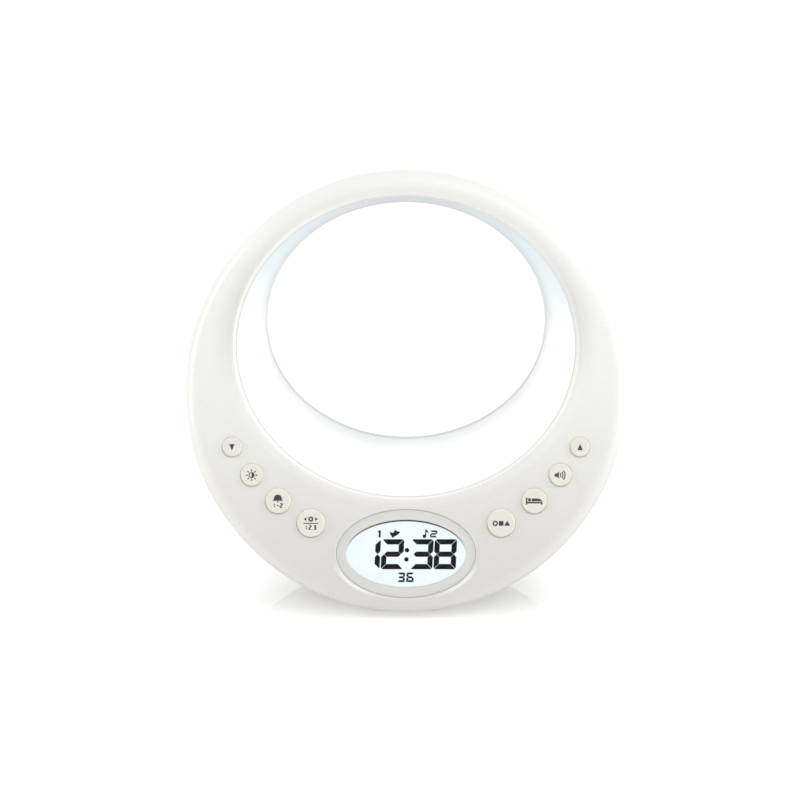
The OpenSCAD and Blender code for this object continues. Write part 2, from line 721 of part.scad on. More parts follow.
module controller_chips() color(part_black) face_frame() behind_display()
    for (i = [0 : len(chip_spots) - 1])
        translate(chip_spots[i]) block(chip_sizes[i][0], chip_sizes[i][1], 0, chip_sizes[i][2]);

module capacitors() color([0.2, 0.25, 0.45]) face_frame() behind_display() for (s = capacitor_spots)
    translate(s) disc(capacitor_r, 0, capacitor_l);

module wire_sockets() color([0.93, 0.92, 0.86]) face_frame() behind_display() for (s = socket_spots)
    translate(s) difference() {
        block(socket_w, socket_h, 0, socket_l);
        block(socket_w - 2 * socket_wall, socket_h - 2 * socket_wall, -socket_floor, socket_l);
    }

// A key: a crowned cap on a skirt with a flange behind the face, and a stem that meets its plunger
module key(side, i) color(shell_white) face_frame() at_key(side, i) {
    r = key_d(i) / 2;
    crown_r = (r * r + key_crown * key_crown) / (2 * key_crown);
    rotate_extrude() difference() {
        union() {
            intersection() {
                difference() {
                    translate([0, key_foot]) square([r, key_proud - key_foot]);
                    corner_cut(r, key_proud - key_crown, key_edge_r, 1);
                }
                translate([0, key_proud - crown_r]) circle(crown_r, $fn = 360);
            }
            translate([0, key_foot]) square([r + key_flange_w, key_flange_t]);
        }
        translate([stem_r, key_foot - 1])
            square([r - key_wall - stem_r, key_proud - key_crown - key_wall - key_foot + 1]);
    }
    disc(stem_r, -key_foot - 1, -plunger_top - seat_gap / 2);
}

module key_down() key(-1, 0);
module key_light() key(-1, 1);
module key_alarm() key(-1, 2);
module key_set() key(-1, 3);
module key_mode() key(1, 3);
module key_sleep() key(1, 2);
module key_volume() key(1, 1);
module key_up() key(1, 0);
module plunger_down() plunger(-1, 0);
module plunger_light() plunger(-1, 1);
module plunger_alarm() plunger(-1, 2);
module plunger_set() plunger(-1, 3);
module plunger_mode() plunger(1, 3);
module plunger_sleep() plunger(1, 2);
module plunger_volume() plunger(1, 1);
module plunger_up() plunger(1, 0);

// Pressed steel basket of the speaker, open between four legs
module speaker_frame() color(steel) face_frame() at_speaker() translate([0, 0, -wall - seat_gap]) {
    rim_in = speaker_d / 2 - rim_w;
    floor_z = -basket_depth + basket_t;
    difference() {
        rotate_extrude() polygon([
            [rim_in, 0], [speaker_d / 2, 0], [speaker_d / 2, -rim_t], [rim_in + basket_t, -rim_t],
            [basket_r + basket_t, -basket_depth], [coil_r + 1, -basket_depth], [coil_r + 1, floor_z],
            [basket_r, floor_z], [rim_in, -rim_t - basket_t]]);
        for (a = [45, 135, 225, 315]) rotate(a) translate([basket_r - 2, -leg_gap / 2, floor_z + basket_t])
            cube([speaker_d, leg_gap, -floor_z - basket_t - rim_t - 1]);
    }
}

// Cone with its surround, and the dust cap over the coil
module speaker_cone() color(cone_grey) face_frame() at_speaker() translate([0, 0, -wall - seat_gap]) {
    rim_in = speaker_d / 2 - rim_w - seat_gap;
    rim_z = -rim_t / 2;
    rotate_extrude() polygon([
        [rim_in, rim_z], [rim_in, rim_z - cone_t], [rim_in - surround_w, rim_z - cone_t],
        [coil_r, -cone_depth - cone_t], [coil_r, -cone_depth - coil_l],
        [coil_r - cone_t, -cone_depth - coil_l], [coil_r - cone_t, -cone_depth],
        [rim_in - surround_w, rim_z]]);
    translate([0, 0, -cone_depth]) intersection() {
        translate([0, 0, cap_h - cap_r]) sphere(cap_r);
        cylinder(r = coil_r, h = cap_h);
    }
}

module speaker_magnet() color(steel) face_frame() at_speaker()
    translate([0, 0, -wall - 2 * seat_gap - basket_depth]) {
        disc(magnet_r, 0, magnet_t);
        disc(coil_r - cone_t - coil_gap, cone_depth + 1 - basket_depth, 1);
    }

// Ring that holds the speaker's rim down on the back wall, with three ears
module speaker_clamp() color(shell_white) face_frame() at_speaker()
    translate([0, 0, -wall - ear_post_l - seat_gap]) difference() {
        union() {
            disc(speaker_d / 2 + fine_gap + locator_t, 0, clamp_t);
            disc(speaker_d / 2 - fine_gap, rim_t + seat_gap - ear_post_l, clamp_t);
            at_ears() disc(clamp_ear_r, 0, clamp_t);
        }
        disc(speaker_d / 2 - clamp_lip, -2 * ear_post_l, 2 * clamp_t);
        at_ears() disc(board_screw_r + fine_gap, -2 * clamp_t, 2 * clamp_t);
    }

module speaker_screws() color(steel) face_frame() at_speaker() at_ears()
    translate([0, 0, -wall - ear_post_l - 2 * seat_gap - clamp_t])
        rotate([180, 0, 0]) translate([0, 0, board_head_t])
            screw(board_head_r, board_head_t, board_screw_r, ear_screw_l);

module power_jack() color(part_black) face_frame() at_jack() {
    bore_end = jack_dish_h + jack_bore_l;
    difference() {
        union() {
            block(jack_w, jack_h, -wall - seat_gap, jack_l);
            disc(jack_nose_r, jack_dish_h, wall + seat_gap + 1);
        }
        disc(jack_bore_r, -sure_cut, bore_end);
    }
    disc(jack_pin_r, jack_dish_h + jack_pin_in, bore_end + 1);
}

module battery_cells() color(cell_silver) face_frame() at_door() at_cells()
    translate([(contact_room - spring_room) / 2 - cell_l / 2, 0, 0]) rotate([0, 90, 0]) {
        cylinder(d = cell_d, h = cell_l - cell_nub_h);
        cylinder(r = cell_nub_r, h = cell_l);
    }

// One spring, wound along z from a wide foot to a narrow top, as rings of points on the wire
function on_coil(r1, r2, length, turn) = let (f = turn / spring_turns, r = r1 + (r2 - r1) * f)
    [r * cos(360 * turn), r * sin(360 * turn), wire_r + (length - 2 * wire_r) * f];
module coil(r1, r2, length) {
    last = spring_turns * rings_per_turn;
    points = [for (k = [0 : last], s = [0 : wire_sides - 1])
        let (turn = k / rings_per_turn, c = on_coil(r1, r2, length, turn), a = 360 * s / wire_sides)
        c + wire_r * [cos(a) * cos(360 * turn), cos(a) * sin(360 * turn), sin(a)]];
    polyhedron(points, concat(
        [[for (s = [wire_sides - 1 : -1 : 0]) s]],
        [for (k = [0 : last - 1], s = [0 : wire_sides - 1])
            let (n = (s + 1) % wire_sides, b = k * wire_sides)
            [b + s, b + n, b + wire_sides + n, b + wire_sides + s]],
        [[for (s = [0 : wire_sides - 1]) last * wire_sides + s]]));
}

module battery_springs() color(steel) face_frame() at_door() at_cells()
    translate([tray_w / 2 - contact_t - 2 * seat_gap, 0, 0]) rotate([0, -90, 0])
        coil(cell_d / 2 - 1.5, cell_d / 4, spring_room - contact_t - 4 * seat_gap);

module battery_contacts() color(steel) face_frame() at_door() at_cells()
    for (side = [-1, 1]) translate([side * (tray_w / 2 - seat_gap - contact_t / 2), 0, 0])
        cube([contact_t, contact_w, contact_w], center = true);

module battery_door() color(shell_white) face_frame() at_door() {
    difference() {
        union() {
            translate([0, hinge_r / 2, 0]) block(door_w, door_h - hinge_r, 0, door_t);
            at_hinge() cylinder(r = hinge_r, h = door_w, center = true);
        }
        // slots beside the latch
        for (side = [-1, 1]) translate([side * (latch_w + latch_slot) / 2, door_h / 2 - latch_l / 2 + 1, 1])
            block(latch_slot, latch_l + 2, 0, door_t + 2);
        // grip ribs
        for (k = [1 : 3]) translate([0, door_h / 2 - latch_l - 3 - 2 * k, 0]) rotate([0, 90, 0])
            translate([0, 0, -latch_w / 2]) cylinder(r = 0.5, h = latch_w);
    }
    at_tabs() translate([-tab_w / 2, -tab_l, -door_t - tab_t]) {
        cube([tab_w, tab_l + tab_root, tab_t]);
        translate([0, tab_l, 0]) cube([tab_w, tab_root, tab_t + door_t / 2]);
    }
}

module case_screws() color(steel) face_frame() at_case_screws()
    translate([0, 0, -seat_depth - screw_seat_t - seat_gap]) rotate([180, 0, 0]) translate([0, 0, head_t])
        screw(head_r, head_t, screw_r, screw_l);

module feet() color(rubber_grey) at_feet() rotate_extrude() difference() {
    square([foot_d / 2, foot_h + foot_sink - seat_gap]);
    corner_cut(foot_d / 2, 0, 0.6, -1);
}

front_shell();
rear_shell();
light_diffuser();
light_reflector();
led_board();
led_chips();
display_bezel();
display_lens();
display_glass();
display_light_guide();
display_frame();
display_contact_strip();
main_board();
board_screws();
key_switches();
controller_chips();
capacitors();
wire_sockets();
key_down();
key_light();
key_alarm();
key_set();
key_mode();
key_sleep();
key_volume();
key_up();
plunger_down();
plunger_light();
plunger_alarm();
plunger_set();
plunger_mode();
plunger_sleep();
plunger_volume();
plunger_up();
speaker_frame();
speaker_cone();
speaker_magnet();
speaker_clamp();
speaker_screws();
power_jack();
battery_cells();
battery_springs();
battery_contacts();
battery_door();
case_screws();
feet();
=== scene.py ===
"""Looks of the sunrise alarm clock: its finishes, printing, figures and coils, and the studio round it.

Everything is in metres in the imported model's own frame, except that names ending in _mm are millimetres.
"""

import json
import logging
import math
from abc import ABC, abstractmethod
from dataclasses import dataclass, field
from enum import Enum
from typing import Callable, ClassVar, Iterable, Sequence

import bmesh
import bpy
from mathutils import Matrix, Vector


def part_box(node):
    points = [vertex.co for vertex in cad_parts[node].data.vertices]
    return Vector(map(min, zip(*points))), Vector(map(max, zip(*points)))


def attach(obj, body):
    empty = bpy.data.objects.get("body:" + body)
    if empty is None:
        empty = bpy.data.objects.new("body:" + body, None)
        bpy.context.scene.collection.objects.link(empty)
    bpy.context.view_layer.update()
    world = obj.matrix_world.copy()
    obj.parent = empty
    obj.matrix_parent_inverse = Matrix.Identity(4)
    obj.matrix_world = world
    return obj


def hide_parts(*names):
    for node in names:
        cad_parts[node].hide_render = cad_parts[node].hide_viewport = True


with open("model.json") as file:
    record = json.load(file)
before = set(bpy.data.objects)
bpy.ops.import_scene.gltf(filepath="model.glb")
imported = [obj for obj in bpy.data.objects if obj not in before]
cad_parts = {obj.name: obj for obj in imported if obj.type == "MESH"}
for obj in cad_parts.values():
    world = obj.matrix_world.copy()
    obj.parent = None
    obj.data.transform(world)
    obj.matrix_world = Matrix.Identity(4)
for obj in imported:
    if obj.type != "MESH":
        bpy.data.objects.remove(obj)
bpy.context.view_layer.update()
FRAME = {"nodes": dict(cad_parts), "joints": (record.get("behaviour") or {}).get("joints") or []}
MM = 0.001
log = logging.getLogger("alarm_clock")

Point = tuple[float, float]
Range = tuple[float, float]
Colour = tuple[float, float, float]
BLACK: Colour = (0.0, 0.0, 0.0)
HOUSING = "housing"


class Slot(Enum):
    """Names of material slots in the record."""

    LED = "led"
    PICTURE = "picture"
    KEY = "key"
    SCREW = "screw_steel"
    SPRING = "spring_steel"


class KeyName(str, Enum):
    """The round keys, from the end of the left row to the end of the right row."""

    DOWN = "down"
    LIGHT = "light"
    ALARM = "alarm"
    SET = "set"
    MODE = "mode"
    SLEEP = "sleep"
    VOLUME = "volume"
    UP = "up"

    @property
    def body(self) -> str:
        """The name of the body that this key moves with."""
        return f"{self.value}_key"

    @property
    def node(self) -> str:
        """The name of the key's node."""
        return f"key_{self.value}"

    @property
    def plunger(self) -> str:
        """The name of the node of the plunger under the key."""
        return f"plunger_{self.value}"


# ---------------------------------------------------------------------------------------------------------
# Places
# ---------------------------------------------------------------------------------------------------------


def box_of(points: Iterable[Vector]) -> tuple[Vector, Vector]:
    """The box round some points.

    Args:
        points: the points, at least one.

    Returns:
        Its lowest and its highest corner.
    """
    columns = list(zip(*points))
    return Vector([min(c) for c in columns]), Vector([max(c) for c in columns])


@dataclass(frozen=True)
class Plane:
    """A flat side of the clock with its own axes: x along it, y up along it and z out of it.

    Attributes:
        to_model: matrix from the plane's own metres to the model's frame.
    """

    to_model: Matrix

    def at(self, x_mm: float, y_mm: float, z_mm: float) -> Vector:
        """The place in the model's frame of a point given on the plane in millimetres."""
        return self.to_model @ Vector((x_mm * MM, y_mm * MM, z_mm * MM))

    def points(self, node: str) -> list[Vector]:
        """The points of a node's mesh along the plane's own axes, in millimetres."""
        inverse = self.to_model.inverted()
        return [inverse @ v.co / MM for v in FRAME["nodes"][node].data.vertices]

    def extent(self, node: str) -> tuple[Vector, Vector]:
        """Lowest and highest corner of a node along the plane's own axes, in millimetres."""
        return box_of(self.points(node))

    def middle(self, node: str) -> Vector:
        """The middle of a node along the plane's own axes, in millimetres."""
        low, high = self.extent(node)
        return (low + high) / 2


@dataclass(frozen=True)
class Clock:
    """The driving sizes of the body, and the planes of its face and back.

    Attributes:
        shoulder_mm: radius round the front edge.
        top_depth_mm: depth of the body at the top of the ring.
        bottom_depth_mm: depth of the body at the bottom of the ring.
        opening_w_mm: width of the opening at the face.
        opening_h_mm: its height.
        opening_up_mm: height of its middle above the ring's centre.
    """

    shoulder_mm: float = 8.0
    top_depth_mm: float = 21.0
    bottom_depth_mm: float = 85.0
    opening_w_mm: float = 157.0
    opening_h_mm: float = 139.4
    opening_up_mm: float = 20.6

    def lean(self) -> float:
        """Angle of the face back from upright, from the stroke of the keys."""
        stroke = next(j["axis"] for j in FRAME["joints"] if j["name"] == "set_key_press")
        return math.asin(-stroke[2])

    def ring_radius(self) -> float:
        """Radius of the ring, from the front shell's width."""
        low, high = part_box("front_shell")
        return (high.x - low.x) / 2

    def face(self) -> Plane:
        """The plane of the face.

        Returns:
            The plane, with its origin at the ring's centre.
        """
        low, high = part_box("front_shell")
        lean, shoulder = self.lean(), self.shoulder_mm * MM
        core = self.ring_radius() - shoulder
        y = low.y + core * math.sin(lean) + shoulder * (1 - math.cos(lean))
        z = high.z - core * math.cos(lean) - shoulder * (1 - math.sin(lean))
        return Plane(Matrix.Translation((0, y, z)) @ Matrix.Rotation(math.pi / 2 - lean, 4, "X"))

    def back(self) -> Plane:
        """The plane of the sloping back.

        Returns:
            The plane, with x to the right as seen from behind.
        """
        slope = (self.bottom_depth_mm - self.top_depth_mm) * MM / (2 * self.ring_radius())
        middle = Matrix.Translation((0, 0, -(self.bottom_depth_mm + self.top_depth_mm) / 2 * MM))
        turned = Matrix.Rotation(math.atan(slope), 4, "X") @ Matrix.Rotation(math.pi, 4, "Y")
        return Plane(self.face().to_model @ middle @ turned)


CLOCK = Clock()
FACE = CLOCK.face()
BACK = CLOCK.back()


# ---------------------------------------------------------------------------------------------------------
# Node trees
# ---------------------------------------------------------------------------------------------------------


class NodeTree:
    """A node tree that is filled by one method."""

    def __init__(self, tree: bpy.types.NodeTree) -> None:
        """Takes an empty tree of any kind."""
        self.tree = tree

    def node(self, kind: str, settings: dict[str, object] | None = None,
             sockets: "dict[str | int, object] | None" = None) -> bpy.types.Node:
        """Adds any node.

        Args:
            kind: Blender's name for the node's type.
            settings: the node's own properties, and stops for a colour ramp as (place, colour) pairs.
            sockets: values, wires or output sockets for its inputs, by name or number.

        Returns:
            The new node.
        """
        made = self.tree.nodes.new(kind)
        for key, value in (settings or {}).items():
            if key == "stops":
                self._set_stops(made, value)
            else:
                setattr(made, key, value)
        for key, value in (sockets or {}).items():
            self.feed(made.inputs[key], value)
        return made

    @staticmethod
    def _set_stops(ramp: bpy.types.Node, stops: Iterable[tuple[float, Colour]]) -> None:
        """Gives a colour ramp its stops.

        Args:
            ramp: the ColorRamp node.
            stops: (place, colour) pairs in order.
        """
        elements = ramp.color_ramp.elements
        while len(elements) > 1:
            elements.remove(elements[-1])
        for i, (place, colour) in enumerate(stops):
            stop = elements[0] if i == 0 else elements.new(place)
            stop.position = place
            stop.color = (*colour, 1.0)

    def feed(self, socket: bpy.types.NodeSocket, value: object) -> None:
        """Links an input, or sets its value.

        Args:
            socket: an input of a node in this tree.
            value: a wire, an output socket, a number, a colour or a vector.
        """
        if isinstance(value, Wire):
            self.tree.links.new(value.socket, socket)
        elif isinstance(value, bpy.types.NodeSocket):
            self.tree.links.new(value, socket)
        elif isinstance(value, tuple) and socket.type == "RGBA":
            socket.default_value = (*value[:3], 1.0)
        else:
            socket.default_value = value


class Wire:
    """A number that runs through a material's nodes, and takes part in ordinary arithmetic."""

    def __init__(self, shader: "Shader", socket: bpy.types.NodeSocket) -> None:
        """Wraps an output socket of the shader's tree."""
        self.shader = shader
        self.socket = socket

    def _math(self, operation: str, *values: "float | Wire") -> "Wire":
        """Adds a Math node.

        Args:
            operation: the node's operation.
            values: its inputs, in order, as numbers or wires.

        Returns:
            The node's output.
        """
        made = self.shader.node("ShaderNodeMath", {"operation": operation}, dict(enumerate(values)))
        return Wire(self.shader, made.outputs[0])

    def __add__(self, other: "float | Wire") -> "Wire":
        """self + other."""
        return self._math("ADD", self, other)

    def __radd__(self, other: float) -> "Wire":
        """other + self."""
        return self._math("ADD", other, self)

    def __sub__(self, other: "float | Wire") -> "Wire":
        """self - other."""
        return self._math("SUBTRACT", self, other)

    def __rsub__(self, other: float) -> "Wire":
        """other - self."""
        return self._math("SUBTRACT", other, self)

    def __mul__(self, other: "float | Wire") -> "Wire":
        """self * other."""
        return self._math("MULTIPLY", self, other)

    def __rmul__(self, other: float) -> "Wire":
        """other * self."""
        return self._math("MULTIPLY", other, self)

    def __truediv__(self, other: "float | Wire") -> "Wire":
        """self / other."""
        return self._math("DIVIDE", self, other)

    def __abs__(self) -> "Wire":
        """The size of self, without its sign."""
        return self._math("ABSOLUTE", self)

    def under(self, other: "float | Wire") -> "Wire":
        """1 where self is less than other, and 0 elsewhere."""
        return self._math("LESS_THAN", self, other)

    def upper(self, other: "float | Wire") -> "Wire":
        """The higher of self and other."""
        return self._math("MAXIMUM", self, other)

    def wrapped(self, period: float) -> "Wire":
        """How far self has gone through its current period, from 0 to 1."""
        return self._math("FRACT", self / period)

    def radius(self, other: "Wire") -> "Wire":
        """Distance from the origin of the point whose coordinates are self and other."""
        return self._math("SQRT", self * self + other * other)

    def rise(self, start: float, end: float) -> "Wire":
        """Climbs smoothly from 0 to 1.

        Args:
            start: where it leaves 0.
            end: where it reaches 1.

        Returns:
            The share, from 0 to 1.
        """
        made = self.shader.node(
            "ShaderNodeMapRange", {"interpolation_type": "SMOOTHSTEP"},
            {"Value": self, "From Min": start, "From Max": end, "To Min": 0.0, "To Max": 1.0})
        return Wire(self.shader, made.outputs["Result"])


class Shader(NodeTree):
    """One material's node tree, ending in a Principled surface."""

    def __init__(self, name: str) -> None:
        """Makes an empty material with a Principled surface.

        Args:
            name: the material's name.
        """
        self.material = bpy.data.materials.new(name)
        self.material.use_nodes = True
        super().__init__(self.material.node_tree)
        self.tree.nodes.clear()
        self.surface = self.node("ShaderNodeBsdfPrincipled")
        self.node("ShaderNodeOutputMaterial", None, {"Surface": self.surface.outputs[0]})

    def set(self, **sockets: object) -> "Shader":
        """Sets inputs of the surface, with spaces in their names written as underscores.

        Args:
            sockets: values or wires by input name.

        Returns:
            This shader.
        """
        for key, value in sockets.items():
            self.feed(self.surface.inputs[key.replace("_", " ")], value)
        return self

    def place(self) -> bpy.types.NodeSocket:
        """The point's own object coordinates."""
        return self.node("ShaderNodeTexCoord").outputs["Object"]

    def moved(self, plane: Plane) -> bpy.types.NodeSocket:
        """The point's coordinates on a plane of the clock, in metres.

        Args:
            plane: the plane whose axes are wanted.

        Returns:
            A vector output with x, y and z along the plane's axes.
        """
        back_to_plane = plane.to_model.inverted()
        made = self.node(
            "ShaderNodeMapping", {"vector_type": "POINT"},
            {"Vector": self.place(), "Location": back_to_plane.to_translation(),
             "Rotation": back_to_plane.to_euler("XYZ")})
        return made.outputs[0]

    def axes(self, vector: bpy.types.NodeSocket) -> tuple[Wire, Wire, Wire]:
        """The three parts of a vector."""
        made = self.node("ShaderNodeSeparateXYZ", None, {0: vector})
        return Wire(self, made.outputs[0]), Wire(self, made.outputs[1]), Wire(self, made.outputs[2])

    def noise(self, scale: float, detail: float = 2.0,
              stretch: tuple[float, float, float] = (1, 1, 1)) -> Wire:
        """Seamless noise about 0.5 over the object's own coordinates.

        Args:
            scale: cells per metre.
            detail: how many finer layers are added.
            stretch: factors on the coordinates, for a drawn-out grain.

        Returns:
            The noise.
        """
        vector: bpy.types.NodeSocket = self.place()
        if stretch != (1, 1, 1):
            vector = self.node("ShaderNodeMapping", None, {"Vector": vector, "Scale": stretch}).outputs[0]
        made = self.node("ShaderNodeTexNoise", None, {"Vector": vector, "Scale": scale, "Detail": detail})
        return Wire(self, made.outputs[0])

    def mixed(self, first: object, second: object, factor: "float | Wire") -> bpy.types.NodeSocket:
        """Blends two colours.

        Args:
            first: the colour at factor 0.
            second: the colour at factor 1.
            factor: how much of the second.

        Returns:
            The blended colour's socket.
        """
        made = self.node("ShaderNodeMix", {"data_type": "RGBA"}, {"Factor": factor, 6: first, 7: second})
        return made.outputs[2]

    def bumped(self, height: Wire, depth_mm: float, strength: float = 1.0) -> "Shader":
        """Raises the surface's relief by a height.

        Args:
            height: the relief, from 0 to 1.
            depth_mm: its full height.
            strength: how much of it shows.

        Returns:
            This shader.
        """
        made = self.node("ShaderNodeBump", None, {
            "Strength": strength, "Distance": depth_mm * MM, "Height": height})
        return self.set(Normal=made.outputs[0])


# ---------------------------------------------------------------------------------------------------------
# Finishes
# ---------------------------------------------------------------------------------------------------------


def dimmed(colour: Colour, factor: float) -> Colour:
    """The colour with each part multiplied by a factor."""
    return tuple(c * factor for c in colour)


@dataclass(frozen=True)
class Finish(ABC):
    """What the surface of a piece looks like.

    Attributes:
        name: the material's name.
    """

    name: str

    @abstractmethod
    def paint(self, s: Shader) -> None:
        """Fills the finish's shader.

        Args:
            s: the shader, empty so far.
        """

    def make(self) -> bpy.types.Material:
        """Makes the finish's material.

        Returns:
            The material.
        """
        shader = Shader(self.name)
        self.paint(shader)
        return shader.material


@dataclass(frozen=True)
class PearlMoulding(Finish):
    """Satin pearl white moulding of the shells, with a faint cloudiness, a fine grain and painted light
    and shade.

    Attributes:
        colour: its main colour.
        cloud: colour that it drifts towards.
        crown: painted light: a lighter colour at the top of the face.
        back: its colour behind the joint of the shells.
        foot: painted shade: its colour at the ring's lowest point, darker than the rest.
        shoulder: painted shade on the lower part of the rounded front edge.
        lip: painted shade where the upper part of the opening's rolled lip turns away.
        dish: painted shade in the shallow dish round the display.
        seam: its colour at the seam behind the lip, a painted shade.
        crown_mm: heights over which it turns from its main colour to the crown's painted light.
        foot_mm: depths below the ring's centre over which it turns to the foot's painted shade.
        back_mm: depths behind the face over which it turns to the back's.
        shoulder_in_mm: depths behind the face over which the shoulder's painted shade comes.
        shoulder_out_mm: depths over which it goes.
        shoulder_down_mm: depths below the ring's centre over which it comes.
        gloss: its mean roughness.
        grain_mm: depth of the fine grain.
        painted_light: painted light on the rolled lip of the opening and painted glints round the display.
    """

    name: str = "pearl_shell"
    colour: Colour = (0.85, 0.848, 0.805)
    cloud: Colour = (0.825, 0.823, 0.78)
    crown: Colour = (0.88, 0.88, 0.845)
    back: Colour = (0.79, 0.79, 0.755)
    foot: Colour = (0.675, 0.665, 0.637)
    shoulder: Colour = (0.50, 0.50, 0.485)
    lip: Colour = (0.69, 0.69, 0.66)
    dish: Colour = (0.70, 0.695, 0.72)
    seam: Colour = (0.62, 0.61, 0.58)
    crown_mm: Range = (20.0, 75.0)
    foot_mm: Range = (-20.0, 105.0)
    back_mm: Range = (8.0, 14.0)
    shoulder_in_mm: Range = (1.5, 6.0)
    shoulder_out_mm: Range = (8.0, 10.0)
    shoulder_down_mm: Range = (0.0, 60.0)
    gloss: float = 0.28
    grain_mm: float = 0.004
    painted_light: Colour = BLACK

    @classmethod
    def coarse(cls, name: str) -> "PearlMoulding":
        """The back's moulding, duller and with a deeper grain."""
        return cls(name=name, gloss=0.38, grain_mm=0.010)

    def paint(self, s: Shader) -> None:
        """Fills the finish's shader.

        Args:
            s: the shader, empty so far.
        """
        cloud, speck, grain = s.noise(9.0, 3.0), s.noise(900.0, 2.0), s.noise(2600.0, 1.0)
        x, y, z = s.axes(s.moved(FACE))
        up, down, depth = y / MM, y / MM * -1.0, z / MM * -1.0
        behind = depth.rise(*self.back_mm)
        clear = s.mixed(self.colour, self.cloud, (cloud * 0.8 + speck * 0.2).rise(0.35, 0.65))
        # Its colour behind the joint, then painted shade: darker towards the bottom of the ring.
        shade = s.mixed(s.mixed(clear, self.back, behind), self.foot, down.rise(*self.foot_mm))
        # Painted light: lighter towards the top of the face, in front of the joint.
        shade = s.mixed(shade, self.crown, up.rise(*self.crown_mm) * (1 - behind))
        # Painted shade on the lower part of the rounded front edge.
        edge = depth.rise(*self.shoulder_in_mm) * (1 - depth.rise(*self.shoulder_out_mm))
        shade = s.mixed(shade, self.shoulder, edge * down.rise(*self.shoulder_down_mm) * 0.6)
        # Painted light on the lip and painted glints round the display, given off as light, with painted
        # shade on the upper lip, in the dish and at the seam.
        if any(self.painted_light):
            glow, seam, upper_lip_shade = self._lip(x, y, depth)
            dish_shade, glint = self._dish(x, y)
            shade = s.mixed(s.mixed(s.mixed(shade, self.lip, upper_lip_shade), self.dish, dish_shade), self.seam, seam)
            s.set(Emission_Color=s.mixed(BLACK, self.painted_light, glow.upper(glint)), Emission_Strength=1.0)
        s.set(Base_Color=shade, Roughness=grain * 0.10 + (self.gloss - 0.05),
              Coat_Weight=0.12, Coat_Roughness=0.12, IOR=1.49)
        s.bumped(grain, self.grain_mm, 0.35)

    @staticmethod
    def _lip(x: Wire, y: Wire, depth: Wire) -> tuple[Wire, Wire, Wire]:
        """The rolled lip: how much painted light it gets, where the painted shade at its seam lies, and
        where its top turns away into painted shade.

        Args:
            x: place along the face, in metres.
            y: place up the face, in metres.
            depth: depth behind the face, in millimetres.

        Returns:
            Three shares from 0 to 1.
        """
        across = x / (CLOCK.opening_w_mm / 2 * MM)
        along = (y - CLOCK.opening_up_mm * MM) / (CLOCK.opening_h_mm / 2 * MM)
        away = across.radius(along)
        near = 1 - away.rise(1.08, 1.09)
        # Painted light on the part of the lip that turns in.
        turned = depth.rise(0.45, 0.9) * (1 - depth.rise(1.7, 2.1))
        # A soft painted glow round the lower part of the lip.
        halo = (1 - away.rise(1.0, 1.13)) * (along * -1.0).rise(-0.2, 0.9) * 0.28
        # More of the painted light on the left and at the bottom.
        side = (across * -0.3 - along * 0.45).rise(-0.62, 0.7)
        # Painted shade on the upper part of the lip, next to the opening.
        upper_lip_shade = (1 - away.rise(1.0, 1.17)) * along.rise(-0.5, 0.3) * (1 - along.rise(0.3, 0.9) * 0.3)
        # The second share is the painted shade at the seam, just behind where the lip turns in.
        return near * (side * turned).upper(halo), near * depth.rise(2.0, 2.4), upper_lip_shade

    @staticmethod
    def _dish(x: Wire, y: Wire) -> tuple[Wire, Wire]:
        """The dish round the display: where painted shade lies in it, and where painted highlights lie on
        its lower edge.

        Args:
            x: place along the face, in metres.
            y: place up the face, in metres.

        Returns:
            Two shares from 0 to 1.
        """
        low, high = FACE.extent("display_bezel")
        across = x / ((high.x - low.x) / 2 * MM)
        along = (y - (low.y + high.y) / 2 * MM) / ((high.y - low.y) / 2 * MM)
        away = across.radius(along)
        down = along * -1.0 / away
        near = 1 - away.rise(1.0, 1.14)
        # Painted highlights: thin arcs on the lower edge of the dish.
        line = away.rise(1.005, 1.035) * (1 - away.rise(1.05, 1.10))
        ends = down.rise(0.15, 0.5) * (1 - down.rise(0.75, 0.97))
        # Painted shade in the upper part of the dish, and the painted highlights.
        return near * (1 - down.rise(-0.9, 0.0)) * 0.5, line * (ends * 0.85 + down.rise(0.2, 0.6) * 0.15)


